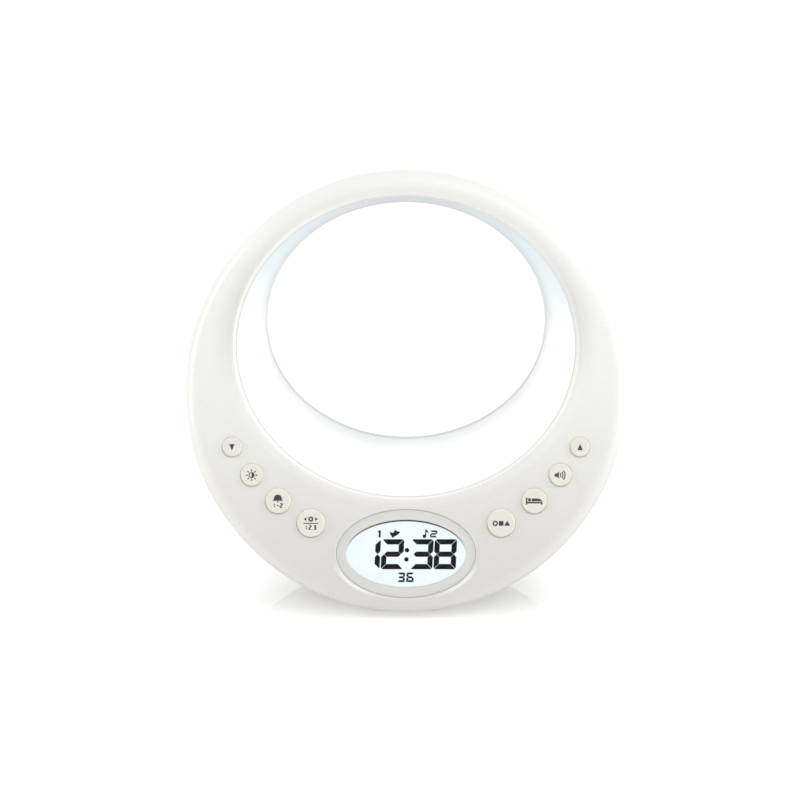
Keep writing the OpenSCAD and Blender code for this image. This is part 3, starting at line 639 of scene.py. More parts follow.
@dataclass(frozen=True)
class KeyMoulding(Finish):
    """A key's satin cap, with painted shadow in the lower part of the gap round it and painted light in
    its upper part.

    Attributes:
        centre: the key's centre on the face, in millimetres.
        radius: radius of its cap, in millimetres.
        cap: colour of the cap.
        skirt: colour below the face, a painted shade that also darkens the lower part of the bevelled
            edge.
        painted_gap_shadow: painted shadow: dim light in the lower part of the gap.
        pale: painted light in its upper part.
        glint: painted highlight on the upper part of the bevelled edge.
        edge_mm: how far below the face the skirt's colour starts.
    """

    centre: Point
    radius: float
    cap: Colour = (0.775, 0.762, 0.698)
    skirt: Colour = (0.50, 0.44, 0.36)
    painted_gap_shadow: Colour = (0.32, 0.245, 0.17)
    pale: Colour = (0.40, 0.385, 0.32)
    glint: Colour = (0.08, 0.08, 0.07)
    edge_mm: float = 0.1

    def paint(self, s: Shader) -> None:
        """Fills the finish's shader.

        Args:
            s: the shader, empty so far.
        """
        x, y, height = s.axes(s.moved(FACE))
        dx, dy = x / MM - self.centre[0], y / MM - self.centre[1]
        away = dx.radius(dy)
        # Direction towards the light, up and a little to the right, for the painted light and shade.
        up = (dx * 0.45 + dy * 0.89) / away
        below = (height / MM * -1.0).rise(self.edge_mm, self.edge_mm + 0.4)
        grain = s.noise(2400.0, 1.0)
        cap = s.mixed(self.cap, dimmed(self.cap, 0.97), s.noise(60.0, 2.0))
        # Painted shadow in the lower part of the gap, painted light in its upper part.
        gap_shading = s.mixed(self.painted_gap_shadow, self.pale, up.rise(-0.55, 0.35))
        # Painted highlight on the upper part of the bevelled edge.
        bevel = away.rise(self.radius - 0.75, self.radius - 0.4) * up.rise(-0.1, 0.8) * (1 - below)
        rim = s.mixed(BLACK, self.glint, bevel)
        # Painted shade: the skirt's colour on the lower part of the bevelled edge.
        dim = away.rise(self.radius - 0.5, self.radius - 0.2) * (1 - up.rise(-0.9, 0.0))
        s.set(Base_Color=s.mixed(cap, self.skirt, below.upper(dim)), Roughness=grain * 0.10 + 0.27,
              Coat_Weight=0.15, Coat_Roughness=0.10, IOR=1.49,
              Emission_Color=s.mixed(rim, gap_shading, below), Emission_Strength=1.0)
        s.bumped(grain, 0.003, 0.3)


@dataclass(frozen=True)
class GlowingDiffuser(Finish):
    """Milky plastic lit from behind: white below, cool up its flanks, dim at its top and at its back edge.

    Attributes:
        stops: light by height in the opening, from -0.1 below its middle to 1 at its top.
        end: how much of the light is lost at the back edge.
        lean: how much brighter the left flank is than the right one.
        climb: how far the funnel's axis climbs for each unit of depth.
        base: its own colour.
    """

    name: str = "glowing_diffuser"
    stops: tuple[tuple[float, Colour], ...] = (
        (0.00, (0.80, 0.82, 0.82)), (0.16, (0.73, 0.75, 0.75)), (0.32, (0.52, 0.585, 0.575)),
        (0.50, (0.385, 0.45, 0.465)), (0.72, (0.285, 0.35, 0.38)), (0.88, (0.245, 0.285, 0.315)),
        (1.00, (0.18, 0.195, 0.215)))
    end: float = 0.36
    lean: float = 0.07
    climb: float = 0.11
    base: Colour = (0.30, 0.31, 0.315)

    def paint(self, s: Shader) -> None:
        """Fills the finish's shader.

        Args:
            s: the shader, empty so far.
        """
        low, high = FACE.extent("light_diffuser")
        x, y, z = s.axes(s.moved(FACE))
        _, _, behind = s.axes(s.moved(BACK))
        depth = z * -1.0
        through = depth / (depth - behind)
        half = (high.x - low.x) / 2 * MM
        height = y - ((low.y + high.y) / 2 * MM + depth * self.climb)
        up = height / x.radius(height) + (x / half) * self.lean
        lit = s.node("ShaderNodeValToRGB", {"stops": self.stops}, {"Fac": (up + 0.1) / 1.1})
        cloud = s.noise(28.0, 2.0).rise(0.3, 0.7)
        loss = through.rise(0.55, 1.05) * self.end + cloud * 0.03
        light = s.mixed(lit.outputs[0], BLACK, loss)
        grain = s.noise(1800.0, 1.0)
        s.set(Base_Color=s.mixed(self.base, dimmed(self.base, 0.9), cloud), Roughness=grain * 0.08 + 0.34,
              Emission_Color=light, Emission_Strength=1.0, IOR=1.49)
        s.bumped(grain, 0.003, 0.25)


@dataclass(frozen=True)
class FineMatt(Finish):
    """Plain moulding with a fine matt grain and a slight drift of tone.

    Attributes:
        colour: its main colour.
        drift: factor on the colour where the tone drifts.
        gloss: its mean roughness.
        grain_per_m: cells of the grain per metre.
        grain_mm: depth of the grain.
    """

    colour: Colour
    drift: float = 0.92
    gloss: float = 0.5
    grain_per_m: float = 2000.0
    grain_mm: float = 0.006

    def paint(self, s: Shader) -> None:
        """Fills the finish's shader.

        Args:
            s: the shader, empty so far.
        """
        grain = s.noise(self.grain_per_m, 2.0)
        cloud = s.noise(45.0, 3.0)
        s.set(Base_Color=s.mixed(self.colour, dimmed(self.colour, self.drift), cloud.rise(0.3, 0.7)),
              Roughness=grain * 0.14 + (self.gloss - 0.07))
        s.bumped(grain, self.grain_mm, 0.5)


@dataclass(frozen=True)
class DrawnMetal(Finish):
    """Plated or drawn metal with fine scratches along one axis.

    Attributes:
        colour: its colour.
        stretch: factors on the coordinates that draw the scratches out.
        gloss: its mean roughness.
    """

    colour: Colour
    stretch: tuple[float, float, float] = (1.0, 1.0, 12.0)
    gloss: float = 0.28

    def paint(self, s: Shader) -> None:
        """Fills the finish's shader.

        Args:
            s: the shader, empty so far.
        """
        scratch = s.noise(900.0, 3.0, self.stretch)
        stain = s.noise(120.0, 2.0)
        s.set(Base_Color=s.mixed(self.colour, dimmed(self.colour, 0.78), stain.rise(0.45, 0.75)),
              Metallic=1.0, Roughness=scratch * 0.25 + (self.gloss - 0.1))
        s.bumped(scratch, 0.004, 0.4)


@dataclass(frozen=True)
class ClearWindow(Finish):
    """Clear polished acrylic, barely marked.

    Attributes:
        tint: what it takes from the light that passes.
    """

    name: str = "clear_window"
    tint: Colour = (0.985, 0.995, 1.0)

    def paint(self, s: Shader) -> None:
        """Fills the finish's shader.

        Args:
            s: the shader, empty so far.
        """
        wipe = s.noise(70.0, 2.0, (1.0, 6.0, 1.0))
        s.set(Base_Color=self.tint, Transmission_Weight=1.0, IOR=1.14,
              Roughness=wipe.rise(0.55, 0.8) * 0.02)


@dataclass(frozen=True)
class BacklitCell(Finish):
    """The liquid crystal's pale, evenly lit ground, with a painted shadow under the upper edge of the
    bezel.

    Attributes:
        middle: light at the middle.
        rim: light towards the ends.
        shade: painted shadow: what is left of the light under the bezel's upper edge.
        lit_mm: half the width and height of the lit oval.
        clear_mm: half the width and height of the part that the bezel's edge doesn't shade.
        clear_down_mm: how far that part's middle lies below the window's.
        shade_mm: heights above the window's middle over which the painted shadow comes.
    """

    name: str = "backlit_cell"
    middle: Colour = (0.885, 0.955, 0.99)
    rim: Colour = (0.86, 0.94, 0.985)
    shade: Colour = (0.03, 0.035, 0.05)
    lit_mm: Point = (28.0, 16.0)
    clear_mm: Point = (27.9, 15.3)
    clear_down_mm: float = 0.7
    shade_mm: Range = (-3.0, 6.0)

    def paint(self, s: Shader) -> None:
        """Fills the finish's shader.

        Args:
            s: the shader, empty so far.
        """
        middle = FACE.middle("display_lens").y
        x, y, _ = s.axes(s.moved(FACE))
        (lit_w, lit_h), (clear_w, clear_h) = self.lit_mm, self.clear_mm
        away = (x / (lit_w * MM)).radius((y - middle * MM) / (lit_h * MM))
        out = (x / (clear_w * MM)).radius((y - (middle - self.clear_down_mm) * MM) / (clear_h * MM))
        start, end = self.shade_mm
        # Painted shadow of the bezel's upper edge on the lit cell.
        edge = out.rise(0.985, 1.015) * y.rise((middle + start) * MM, (middle + end) * MM)
        cell = s.noise(5000.0, 0.0)
        lit = s.mixed(self.middle, self.rim, away.rise(0.3, 1.0) * 0.8 + cell * 0.1)
        s.set(Base_Color=(0.05, 0.055, 0.06), Roughness=0.5, Specular_IOR_Level=0.1,
              Emission_Color=s.mixed(lit, self.shade, edge), Emission_Strength=1.0)


@dataclass(frozen=True)
class Ink(Finish):
    """Pad printing: flat ink with a ragged micro texture.

    Attributes:
        colour: the ink's colour.
        gloss: its roughness.
        shine: strength of its reflections.
    """

    colour: Colour
    gloss: float = 0.55
    shine: float = 0.3

    def paint(self, s: Shader) -> None:
        """Fills the finish's shader.

        Args:
            s: the shader, empty so far.
        """
        blot = s.noise(3500.0, 2.0)
        s.set(Base_Color=s.mixed(self.colour, tuple(min(1.0, c * 1.25 + 0.01) for c in self.colour), blot),
              Roughness=blot * 0.12 + (self.gloss - 0.06), Specular_IOR_Level=self.shine)
        s.bumped(blot, 0.002, 0.3)


@dataclass(frozen=True)
class CircuitBoard(Finish):
    """Green solder mask with copper tracks under it.

    Attributes:
        mask: colour of the solder mask.
        track: colour of the mask over copper.
        pitch_mm: spacing of the tracks.
    """

    name: str = "circuit_board"
    mask: Colour = (0.015, 0.11, 0.045)
    track: Colour = (0.03, 0.20, 0.08)
    pitch_mm: float = 1.9

    def paint(self, s: Shader) -> None:
        """Fills the finish's shader.

        Args:
            s: the shader, empty so far.
        """
        x, y, _ = s.axes(s.moved(FACE))
        bend = s.noise(70.0, 0.0)
        along = (x + bend * (6.0 * MM)).wrapped(self.pitch_mm * MM)
        across = (y + bend * (5.0 * MM)).wrapped(self.pitch_mm * 1.7 * MM)
        region = s.noise(38.0, 0.0).under(0.5)
        tracks = along.under(0.34) * region + across.under(0.26) * (1 - region)
        weave = s.noise(1500.0, 1.0)
        s.set(Base_Color=s.mixed(self.mask, self.track, tracks), Roughness=weave * 0.15 + 0.28,
              Coat_Weight=0.3)
        s.bumped(tracks * 0.8 + weave * 0.2, 0.02, 0.4)


@dataclass(frozen=True)
class CellSleeve(Finish):
    """A cell's plain printed sleeve: a band of colour at one end, bare metal at its tips.

    Attributes:
        sleeve: colour of the sleeve.
        band: colour of its band.
        metal: colour of the tips.
        tip_mm: length of a bare tip.
        band_mm: how far the band reaches from the cell's end.
    """

    name: str = "cell_sleeve"
    sleeve: Colour = (0.05, 0.06, 0.08)
    band: Colour = (0.55, 0.30, 0.07)
    metal: Colour = (0.75, 0.75, 0.76)
    tip_mm: float = 1.9
    band_mm: float = 13.2

    def paint(self, s: Shader) -> None:
        """Fills the finish's shader.

        Args:
            s: the shader, empty so far.
        """
        low, high = BACK.extent("battery_cells")
        x, _, _ = s.axes(s.moved(BACK))
        from_middle = abs(x - (low.x + high.x) / 2 * MM) / MM
        half = (high.x - low.x) / 2
        tip = from_middle.rise(half - self.tip_mm, half - self.tip_mm + 0.3)
        banded = from_middle.rise(half - self.band_mm, half - self.band_mm + 0.2)
        scuff = s.noise(300.0, 3.0, (1.0, 8.0, 8.0))
        paint = s.mixed(self.sleeve, self.band, banded)
        s.set(Base_Color=s.mixed(paint, self.metal, tip), Metallic=tip * 0.9 + banded * 0.05,
              Roughness=scuff * 0.2 + 0.22)
        s.bumped(scuff, 0.01, 0.2)


@dataclass(frozen=True)
class StripedElastomer(Finish):
    """The contact strip: fine conducting layers side by side in pink silicone.

    Attributes:
        silicone: colour of the silicone.
        carbon: colour of the conducting layers.
        pitch_mm: spacing of the layers.
    """

    name: str = "striped_elastomer"
    silicone: Colour = (0.72, 0.36, 0.40)
    carbon: Colour = (0.06, 0.05, 0.05)
    pitch_mm: float = 0.5

    def paint(self, s: Shader) -> None:
        """Fills the finish's shader.

        Args:
            s: the shader, empty so far.
        """
        x, _, _ = s.axes(s.moved(FACE))
        layer = x.wrapped(self.pitch_mm * MM).under(0.45)
        s.set(Base_Color=s.mixed(self.silicone, self.carbon, layer), Roughness=s.noise(800.0) * 0.2 + 0.5)


@dataclass(frozen=True)
class SpeakerPaper(Finish):
    """Pressed black paper with rings and fibres.

    Attributes:
        paper: its main colour.
        fibre: colour of its fibres.
        ring_mm: spacing of the rings.
    """

    name: str = "speaker_paper"
    paper: Colour = (0.018, 0.018, 0.02)
    fibre: Colour = (0.05, 0.05, 0.052)
    ring_mm: float = 1.5

    def paint(self, s: Shader) -> None:
        """Fills the finish's shader.

        Args:
            s: the shader, empty so far.
        """
        centre = BACK.middle("speaker_magnet")
        x, y, _ = s.axes(s.moved(BACK))
        dx, dy = x - centre.x * MM, y - centre.y * MM
        ring = dx.radius(dy).wrapped(self.ring_mm * MM)
        fibre = s.noise(700.0, 4.0)
        s.set(Base_Color=s.mixed(self.paper, self.fibre, fibre), Roughness=fibre * 0.2 + 0.7)
        s.bumped(ring * 0.5 + fibre * 0.5, 0.15, 0.6)


@dataclass(frozen=True)
class LightTable(Finish):
    """Pale glossy floor that gives off light of its own, less of it round the clock as a painted shadow.

    Attributes:
        colour: its colour.
        near: strength of its own light under the clock, low there as a painted shadow.
        far: strength of its own light away from the clock.
        gloss: its roughness.
        side_mm: distances to the side over which its light grows.
        front_mm: distances in front of the clock's middle over which it grows.
        behind_mm: distances behind the clock's middle over which it grows.
    """

    name: str = "light_table"
    colour: Colour = (0.80, 0.80, 0.80)
    near: float = 0.17
    far: float = 0.44
    gloss: float = 0.03
    side_mm: Range = (55.0, 100.0)
    front_mm: Range = (-10.0, 60.0)
    behind_mm: Range = (60.0, 160.0)

    def paint(self, s: Shader) -> None:
        """Fills the finish's shader.

        Args:
            s: the shader, empty so far.
        """
        x, y, _ = s.axes(s.place())
        side = (abs(x) / MM).rise(*self.side_mm)
        front, behind = (y / MM * -1.0).rise(*self.front_mm), (y / MM).rise(*self.behind_mm)
        # Painted shadow: the floor's own light is weaker round the clock.
        light = s.mixed((self.near,) * 3, (self.far,) * 3, side.upper(front).upper(behind))
        s.set(Base_Color=self.colour, Roughness=self.gloss, IOR=1.5,
              Emission_Color=light, Emission_Strength=1.0)


# ---------------------------------------------------------------------------------------------------------
# Meshes
# ---------------------------------------------------------------------------------------------------------


def new_object(name: str, mesh: bpy.types.Mesh, material: bpy.types.Material,
               body: str) -> bpy.types.Object:
    """Adds a finished piece to the clock.

    Args:
        name: the piece's name.
        mesh: its mesh, already in place.
        material: its material.
        body: the body that it rides on.

    Returns:
        The new object.
    """
    mesh.materials.clear()
    mesh.materials.append(material)
    made = bpy.data.objects.new(name, mesh)
    bpy.context.scene.collection.objects.link(made)
    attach(made, body)
    log.info("made %s: %d faces", name, len(mesh.polygons))
    return made


def dress(node: str, material: bpy.types.Material) -> None:
    """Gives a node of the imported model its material.

    Args:
        node: the node's name.
        material: its material.
    """
    mesh = FRAME["nodes"][node].data
    mesh.materials.clear()
    mesh.materials.append(material)
    log.info("dressed %s with %s", node, material.name)


def dress_all(finishes: dict[str, Finish]) -> None:
    """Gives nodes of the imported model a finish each, found by the node's name."""
    for node, finish in finishes.items():
        dress(node, finish.make())


def clusters(points: Iterable[Vector], reach: float) -> list[list[Vector]]:
    """Sorts points into groups whose members lie close together, seen along z.

    Args:
        points: the points.
        reach: how far a point may lie from the nearest other one of its group.

    Returns:
        The groups.
    """
    groups: list[list[Vector]] = []
    for point in points:
        near = [g for g in groups if any((q.xy - point.xy).length < reach for q in g)]
        groups = [g for g in groups if g not in near] + [[point] + [q for g in near for q in g]]
    return groups


def spread(points: Sequence[Point], step_mm: float) -> list[Point]:
    """Adds points along a broken line.

    Args:
        points: the line's own points.
        step_mm: the longest stretch that may stay without a point.

    Returns:
        The line with the same corners and more points.
    """
    line = [points[0]]
    for (x0, y0), (x1, y1) in zip(points, points[1:]):
        parts = max(1, math.ceil(math.hypot(x1 - x0, y1 - y0) / step_mm))
        line += [(x0 + (x1 - x0) * k / parts, y0 + (y1 - y0) * k / parts) for k in range(1, parts + 1)]
    return line


@dataclass(frozen=True)
class Ribbon:
    """A flat shape between two edges that run side by side, each with the same number of points.

    Attributes:
        left: one edge, in millimetres.
        right: the other edge.
    """

    left: tuple[Point, ...]
    right: tuple[Point, ...]

    @classmethod
    def bar(cls, start: Point, end: Point, width: float) -> "Ribbon":
        """A straight stroke.

        Args:
            start: middle of one end.
            end: middle of the other end.
            width: the stroke's width.

        Returns:
            The stroke.
        """
        dx, dy = end[0] - start[0], end[1] - start[1]
        length = math.hypot(dx, dy)
        nx, ny = -dy / length * width / 2, dx / length * width / 2
        line = spread([start, end], 0.5)
        return cls(tuple((x + nx, y + ny) for x, y in line), tuple((x - nx, y - ny) for x, y in line))

    @classmethod
    def arc(cls, inner: float, outer: float, start: float, end: float, centre: Point = (0, 0)) -> "Ribbon":
        """A stroke that follows a circle.

        Args:
            inner: radius of its inner edge.
            outer: radius of its outer edge.
            start: angle where it starts, in degrees.
            end: angle where it ends.
            centre: the circle's centre.

        Returns:
            The stroke.
        """
        parts = max(6, round(abs(end - start) / 9))
        turns = [math.radians(start + (end - start) * k / parts) for k in range(parts + 1)]
        edges = [tuple((centre[0] + r * math.cos(t), centre[1] + r * math.sin(t)) for t in turns)
                 for r in (inner, outer)]
        return cls(*edges)

    @classmethod
    def round_fill(cls, radius: float, start: float = -90, end: float = 90,
                   centre: Point = (0, 0)) -> "Ribbon":
        """A filled disc, or the part of it beyond the chord between two angles.

        Args:
            radius: the disc's radius.
            start: angle where its outer edge starts, in degrees.
            end: angle where its outer edge ends.
            centre: the disc's centre.

        Returns:
            The filled shape.
        """
        parts = 14
        turns = [math.radians(start + (end - start) * k / parts) for k in range(parts + 1)]
        outer = tuple((centre[0] + radius * math.cos(t), centre[1] + radius * math.sin(t)) for t in turns)
        (x0, y0), (x1, y1) = outer[0], outer[-1]
        chord = tuple((x0 + (x1 - x0) * (1 - math.cos(math.pi * k / parts)) / 2,
                       y0 + (y1 - y0) * (1 - math.cos(math.pi * k / parts)) / 2) for k in range(parts + 1))
        return cls(chord, outer)

    @classmethod
    def ring(cls, inner: float, outer: float, centre: Point = (0, 0)) -> "list[Ribbon]":
        """A ring, in two halves."""
        return [cls.arc(inner, outer, a, a + 180, centre) for a in (0, 180)]

    @classmethod
    def disc(cls, radius: float, centre: Point = (0, 0)) -> "list[Ribbon]":
        """A filled disc, in two halves."""
        return [cls.round_fill(radius, a, a + 180, centre) for a in (0, 180)]

    @classmethod
    def spokes(cls, inner: float, outer: float, width: float, up: float = 0.0) -> "list[Ribbon]":
        """Eight short bars that point away from a centre on the y axis."""
        return [cls.bar((inner, 0), (outer, 0), width).moved(0, up, 1, 45 * k) for k in range(8)]

    @classmethod
    def mirrored(cls, half: Sequence[Point]) -> "Ribbon":
        """A shape that is the same on both sides of the y axis.

        Args:
            half: its right-hand edge, from bottom to top.

        Returns:
            The whole shape.
        """
        edge = spread(half, 0.35)
        return cls(tuple((-x, y) for x, y in edge), tuple(edge))

    def sheared(self, slant: float, level: float) -> "Ribbon":
        """The shape leaning over.

        Args:
            slant: distance along x for each unit of height.
            level: height that stays where it is.

        Returns:
            The new shape.
        """
        return Ribbon(tuple((x + slant * (y - level), y) for x, y in self.left),
                      tuple((x + slant * (y - level), y) for x, y in self.right))

    def moved(self, dx: float, dy: float, scale: float = 1.0, turn: float = 0.0) -> "Ribbon":
        """The shape scaled and turned about the origin, and then moved.

        Args:
            dx: distance along x.
            dy: distance along y.
            scale: factor on its size.
            turn: angle in degrees, anticlockwise.

        Returns:
            The new shape.
        """
        c, s = math.cos(math.radians(turn)) * scale, math.sin(math.radians(turn)) * scale
        return Ribbon(tuple((x * c - y * s + dx, x * s + y * c + dy) for x, y in self.left),
                      tuple((x * c - y * s + dx, x * s + y * c + dy) for x, y in self.right))


@dataclass
class Stamp:
    """Ribbons printed as one thin closed layer on a surface.

    Attributes:
        plane: the plane that the surface belongs to.
        height: height of the surface above the plane, in millimetres, at a point of the print.
        centre: where the print's origin lies on the plane, in millimetres.
        lift_mm: height of the print's top above the surface.
        sink_mm: depth of its underside below the surface.
        across: number of faces across each ribbon.
        WELD: distance below which corners are one, in metres.
    """

    plane: Plane
    height: Callable[[float, float], float]
    centre: Point
    lift_mm: float = 0.02
    sink_mm: float = 0.02
    across: int = 3
    WELD: ClassVar[float] = 1e-7

    def mesh(self, name: str, ribbons: Iterable[Ribbon]) -> bpy.types.Mesh:
        """Prints ribbons.

        Args:
            name: the mesh's name.
            ribbons: the shapes, in millimetres about the print's origin.

        Returns:
            The mesh, in place.
        """
        built = bmesh.new()
        for ribbon in ribbons:
            self._add(built, ribbon)
        bmesh.ops.recalc_face_normals(built, faces=built.faces)
        mesh = bpy.data.meshes.new(name)
        built.to_mesh(mesh)
        built.free()
        return mesh

    def _add(self, built: bmesh.types.BMesh, ribbon: Ribbon) -> None:
        """Adds one ribbon as a closed slab.

        Args:
            built: the mesh under construction.
            ribbon: the shape to add.
        """
        layers = []
        for offset in (self.lift_mm, -self.sink_mm):
            rows = []
            for (ax, ay), (bx, by) in zip(ribbon.left, ribbon.right):
                row = []
                for j in range(self.across + 1):
                    x = ax + (bx - ax) * j / self.across
                    y = ay + (by - ay) * j / self.across
                    z = self.height(x, y) + offset
                    row.append(built.verts.new(self.plane.at(self.centre[0] + x, self.centre[1] + y, z)))
                rows.append(row)
            layers.append(rows)
        top, under = layers
        last_row, last = len(top) - 1, self.across
        for i in range(last_row):
            for j in range(last):
                built.faces.new((top[i][j], top[i][j + 1], top[i + 1][j + 1], top[i + 1][j]))
                built.faces.new((under[i][j], under[i + 1][j], under[i + 1][j + 1], under[i][j + 1]))
            for j in (0, last):
                built.faces.new((top[i][j], top[i + 1][j], under[i + 1][j], under[i][j]))
        for i in (0, last_row):
            for j in range(last):
                built.faces.new((top[i][j], under[i][j], under[i][j + 1], top[i][j + 1]))
        corners = [v for rows in layers for row in rows for v in row]
        bmesh.ops.remove_doubles(built, verts=corners, dist=self.WELD)


# ---------------------------------------------------------------------------------------------------------
# Repeats, as geometry nodes
# ---------------------------------------------------------------------------------------------------------


class GeometryTree(NodeTree):
    """A geometry node tree that sets one shape on each point of a mesh, turned to the point's facing."""

    def __init__(self, name: str, sizes_mm: dict[str, float]) -> None:
        """Makes the tree with its inputs.

        Args:
            name: the tree's name.
            sizes_mm: the shape's sizes, by the names of their inputs.
        """
        super().__init__(bpy.data.node_groups.new(name, "GeometryNodeTree"))
        self.tree.interface.new_socket("Geometry", in_out="OUTPUT", socket_type="NodeSocketGeometry")
        self.tree.interface.new_socket("Points", in_out="INPUT", socket_type="NodeSocketGeometry")
        self.values: dict[str, object] = {}
        self.add_input("Finish", "NodeSocketMaterial", None)
        for size, value in sizes_mm.items():
            self.add_input(size, "NodeSocketFloat", value * MM)
        self.entry = self.node("NodeGroupInput")

    def add_input(self, name: str, kind: str, value: object) -> None:
        """Adds a named input and keeps the value to give it.

        Args:
            name: the input's name.
            kind: its socket type.
            value: its value.
        """
        self.tree.interface.new_socket(name, in_out="INPUT", socket_type=kind)
        self.values[name] = value

    def close(self, shape: bpy.types.NodeSocket) -> None:
        """Sets the shape on each point, makes the copies real and gives them their finish.

        Args:
            shape: the geometry to repeat.
        """
        facing = self.node("GeometryNodeInputNamedAttribute", {"data_type": "FLOAT_VECTOR"},
                           {"Name": "facing"})
        turn = self.node("FunctionNodeAlignRotationToVector", {"axis": "Z"}, {"Vector": facing.outputs[0]})
        copies = self.node("GeometryNodeInstanceOnPoints", None, {
            "Points": self.entry.outputs["Points"], "Instance": shape, "Rotation": turn.outputs[0]})
        real = self.node("GeometryNodeRealizeInstances", None, {0: copies.outputs[0]})
        painted = self.node("GeometryNodeSetMaterial", None, {
            "Geometry": real.outputs[0], "Material": self.entry.outputs["Finish"]})
        self.node("NodeGroupOutput", None, {0: painted.outputs[0]})

    def run(self, name: str, points: Sequence[Vector], facings: Sequence[Vector],
            material: bpy.types.Material) -> bpy.types.Mesh:
        """Evaluates the tree on a set of points.

        Args:
            name: the resulting mesh's name.
            points: where the copies stand.
            facings: the direction that each copy's z axis points in.
            material: the copies' material.

        Returns:
            A plain mesh of all the copies.
        """
        seeds = bpy.data.meshes.new(f"{name}_points")
        seeds.from_pydata([tuple(p) for p in points], [], [])
        attribute = seeds.attributes.new("facing", "FLOAT_VECTOR", "POINT")
        for i, facing in enumerate(facings):
            attribute.data[i].vector = facing
        carrier = bpy.data.objects.new(f"{name}_carrier", seeds)
        bpy.context.scene.collection.objects.link(carrier)
        modifier = carrier.modifiers.new("repeat", "NODES")
        modifier.node_group = self.tree
        self.values["Finish"] = material
        for item in self.tree.interface.items_tree:
            if item.in_out == "INPUT" and item.name in self.values:
                modifier[item.identifier] = self.values[item.name]
        carrier.update_tag()
        bpy.context.view_layer.update()
        evaluated = carrier.evaluated_get(bpy.context.evaluated_depsgraph_get())
        mesh = bpy.data.meshes.new_from_object(evaluated)
        mesh.name = name
        carrier.modifiers.clear()
        bpy.data.objects.remove(carrier)
        bpy.data.meshes.remove(seeds)
        return mesh


class CoilTree(GeometryTree):
    """Conical wire springs wound up along z from a wide foot."""

    def __init__(self, foot_mm: float, top_mm: float, height_mm: float, turns: float,
                 wire_mm: float) -> None:
        """Builds the tree.

        Args:
            foot_mm: radius of the coil at its foot.
            top_mm: radius at its top.
            height_mm: its height.
            turns: number of turns.
            wire_mm: the wire's radius.
        """
        super().__init__("wire_coil", {
            "Foot": foot_mm, "Top": top_mm, "Height": height_mm, "Wire": wire_mm})
        self.add_input("Turns", "NodeSocketFloat", turns)
        port = self.entry.outputs
        spiral = self.node("GeometryNodeCurveSpiral", None, {
            "Resolution": 28, "Rotations": port["Turns"], "Start Radius": port["Foot"],
            "End Radius": port["Top"], "Height": port["Height"]})
        section = self.node("GeometryNodeCurvePrimitiveCircle", {"mode": "RADIUS"},
                            {"Resolution": 12, "Radius": port["Wire"]})
        wound = self.node("GeometryNodeCurveToMesh", None, {
            "Curve": spiral.outputs[0], "Profile Curve": section.outputs[0], "Fill Caps": True})
        self.close(wound.outputs[0])


class DomeTree(GeometryTree):
    """Shallow round domes, such as the phosphor over an LED."""

    def __init__(self, radius_mm: float, flatness: float) -> None:
        """Builds the tree.

        Args:
            radius_mm: the dome's radius.
            flatness: its height as a share of the radius.
        """
        super().__init__("phosphor_dome", {"Radius": radius_mm})
        ball = self.node("GeometryNodeMeshUVSphere", None, {
            "Segments": 16, "Rings": 8, "Radius": self.entry.outputs["Radius"]})
        flat = self.node("GeometryNodeTransform", None, {
            "Geometry": ball.outputs[0], "Scale": (1, 1, flatness)})
        self.close(flat.outputs[0])


class LegTree(GeometryTree):
    """Flat metal legs beside a chip, lying along their facing."""

    def __init__(self, length_mm: float, width_mm: float, thickness_mm: float) -> None:
        """Builds the tree.

        Args:
            length_mm: length of a leg along its facing.
            width_mm: its width.
            thickness_mm: its thickness.
        """
        super().__init__("chip_leg", {"Length": length_mm, "Width": width_mm, "Thickness": thickness_mm})
        port = self.entry.outputs
        size = self.node("ShaderNodeCombineXYZ", None, {
            0: port["Width"], 1: port["Thickness"], 2: port["Length"]})
        leg = self.node("GeometryNodeMeshCube", None, {"Size": size.outputs[0]})
        self.close(leg.outputs[0])


# ---------------------------------------------------------------------------------------------------------
# Sub-assemblies
# ---------------------------------------------------------------------------------------------------------


@dataclass
class Housing:
    """The two shells, their screws and the foot pads.

    Attributes:
        front: finish of the front shell.
        rear: finish of the rear shell, with a deeper grain.
    """

    # The front shell alone gets painted light on its lip and painted glints round the display.
    front: PearlMoulding = field(default_factory=lambda: PearlMoulding(painted_light=(0.19, 0.19, 0.175)))
    rear: PearlMoulding = field(default_factory=lambda: PearlMoulding.coarse("pearl_rear"))

    def build(self) -> None:
        """Dresses the shells, screws and pads."""
        dress_all({
            "front_shell": self.front,
            "rear_shell": self.rear,
            "case_screws": DrawnMetal("zinc_screw", (0.62, 0.63, 0.64)),
            "feet": FineMatt("foot_rubber", (0.16, 0.16, 0.165), gloss=0.75, grain_mm=0.02)})


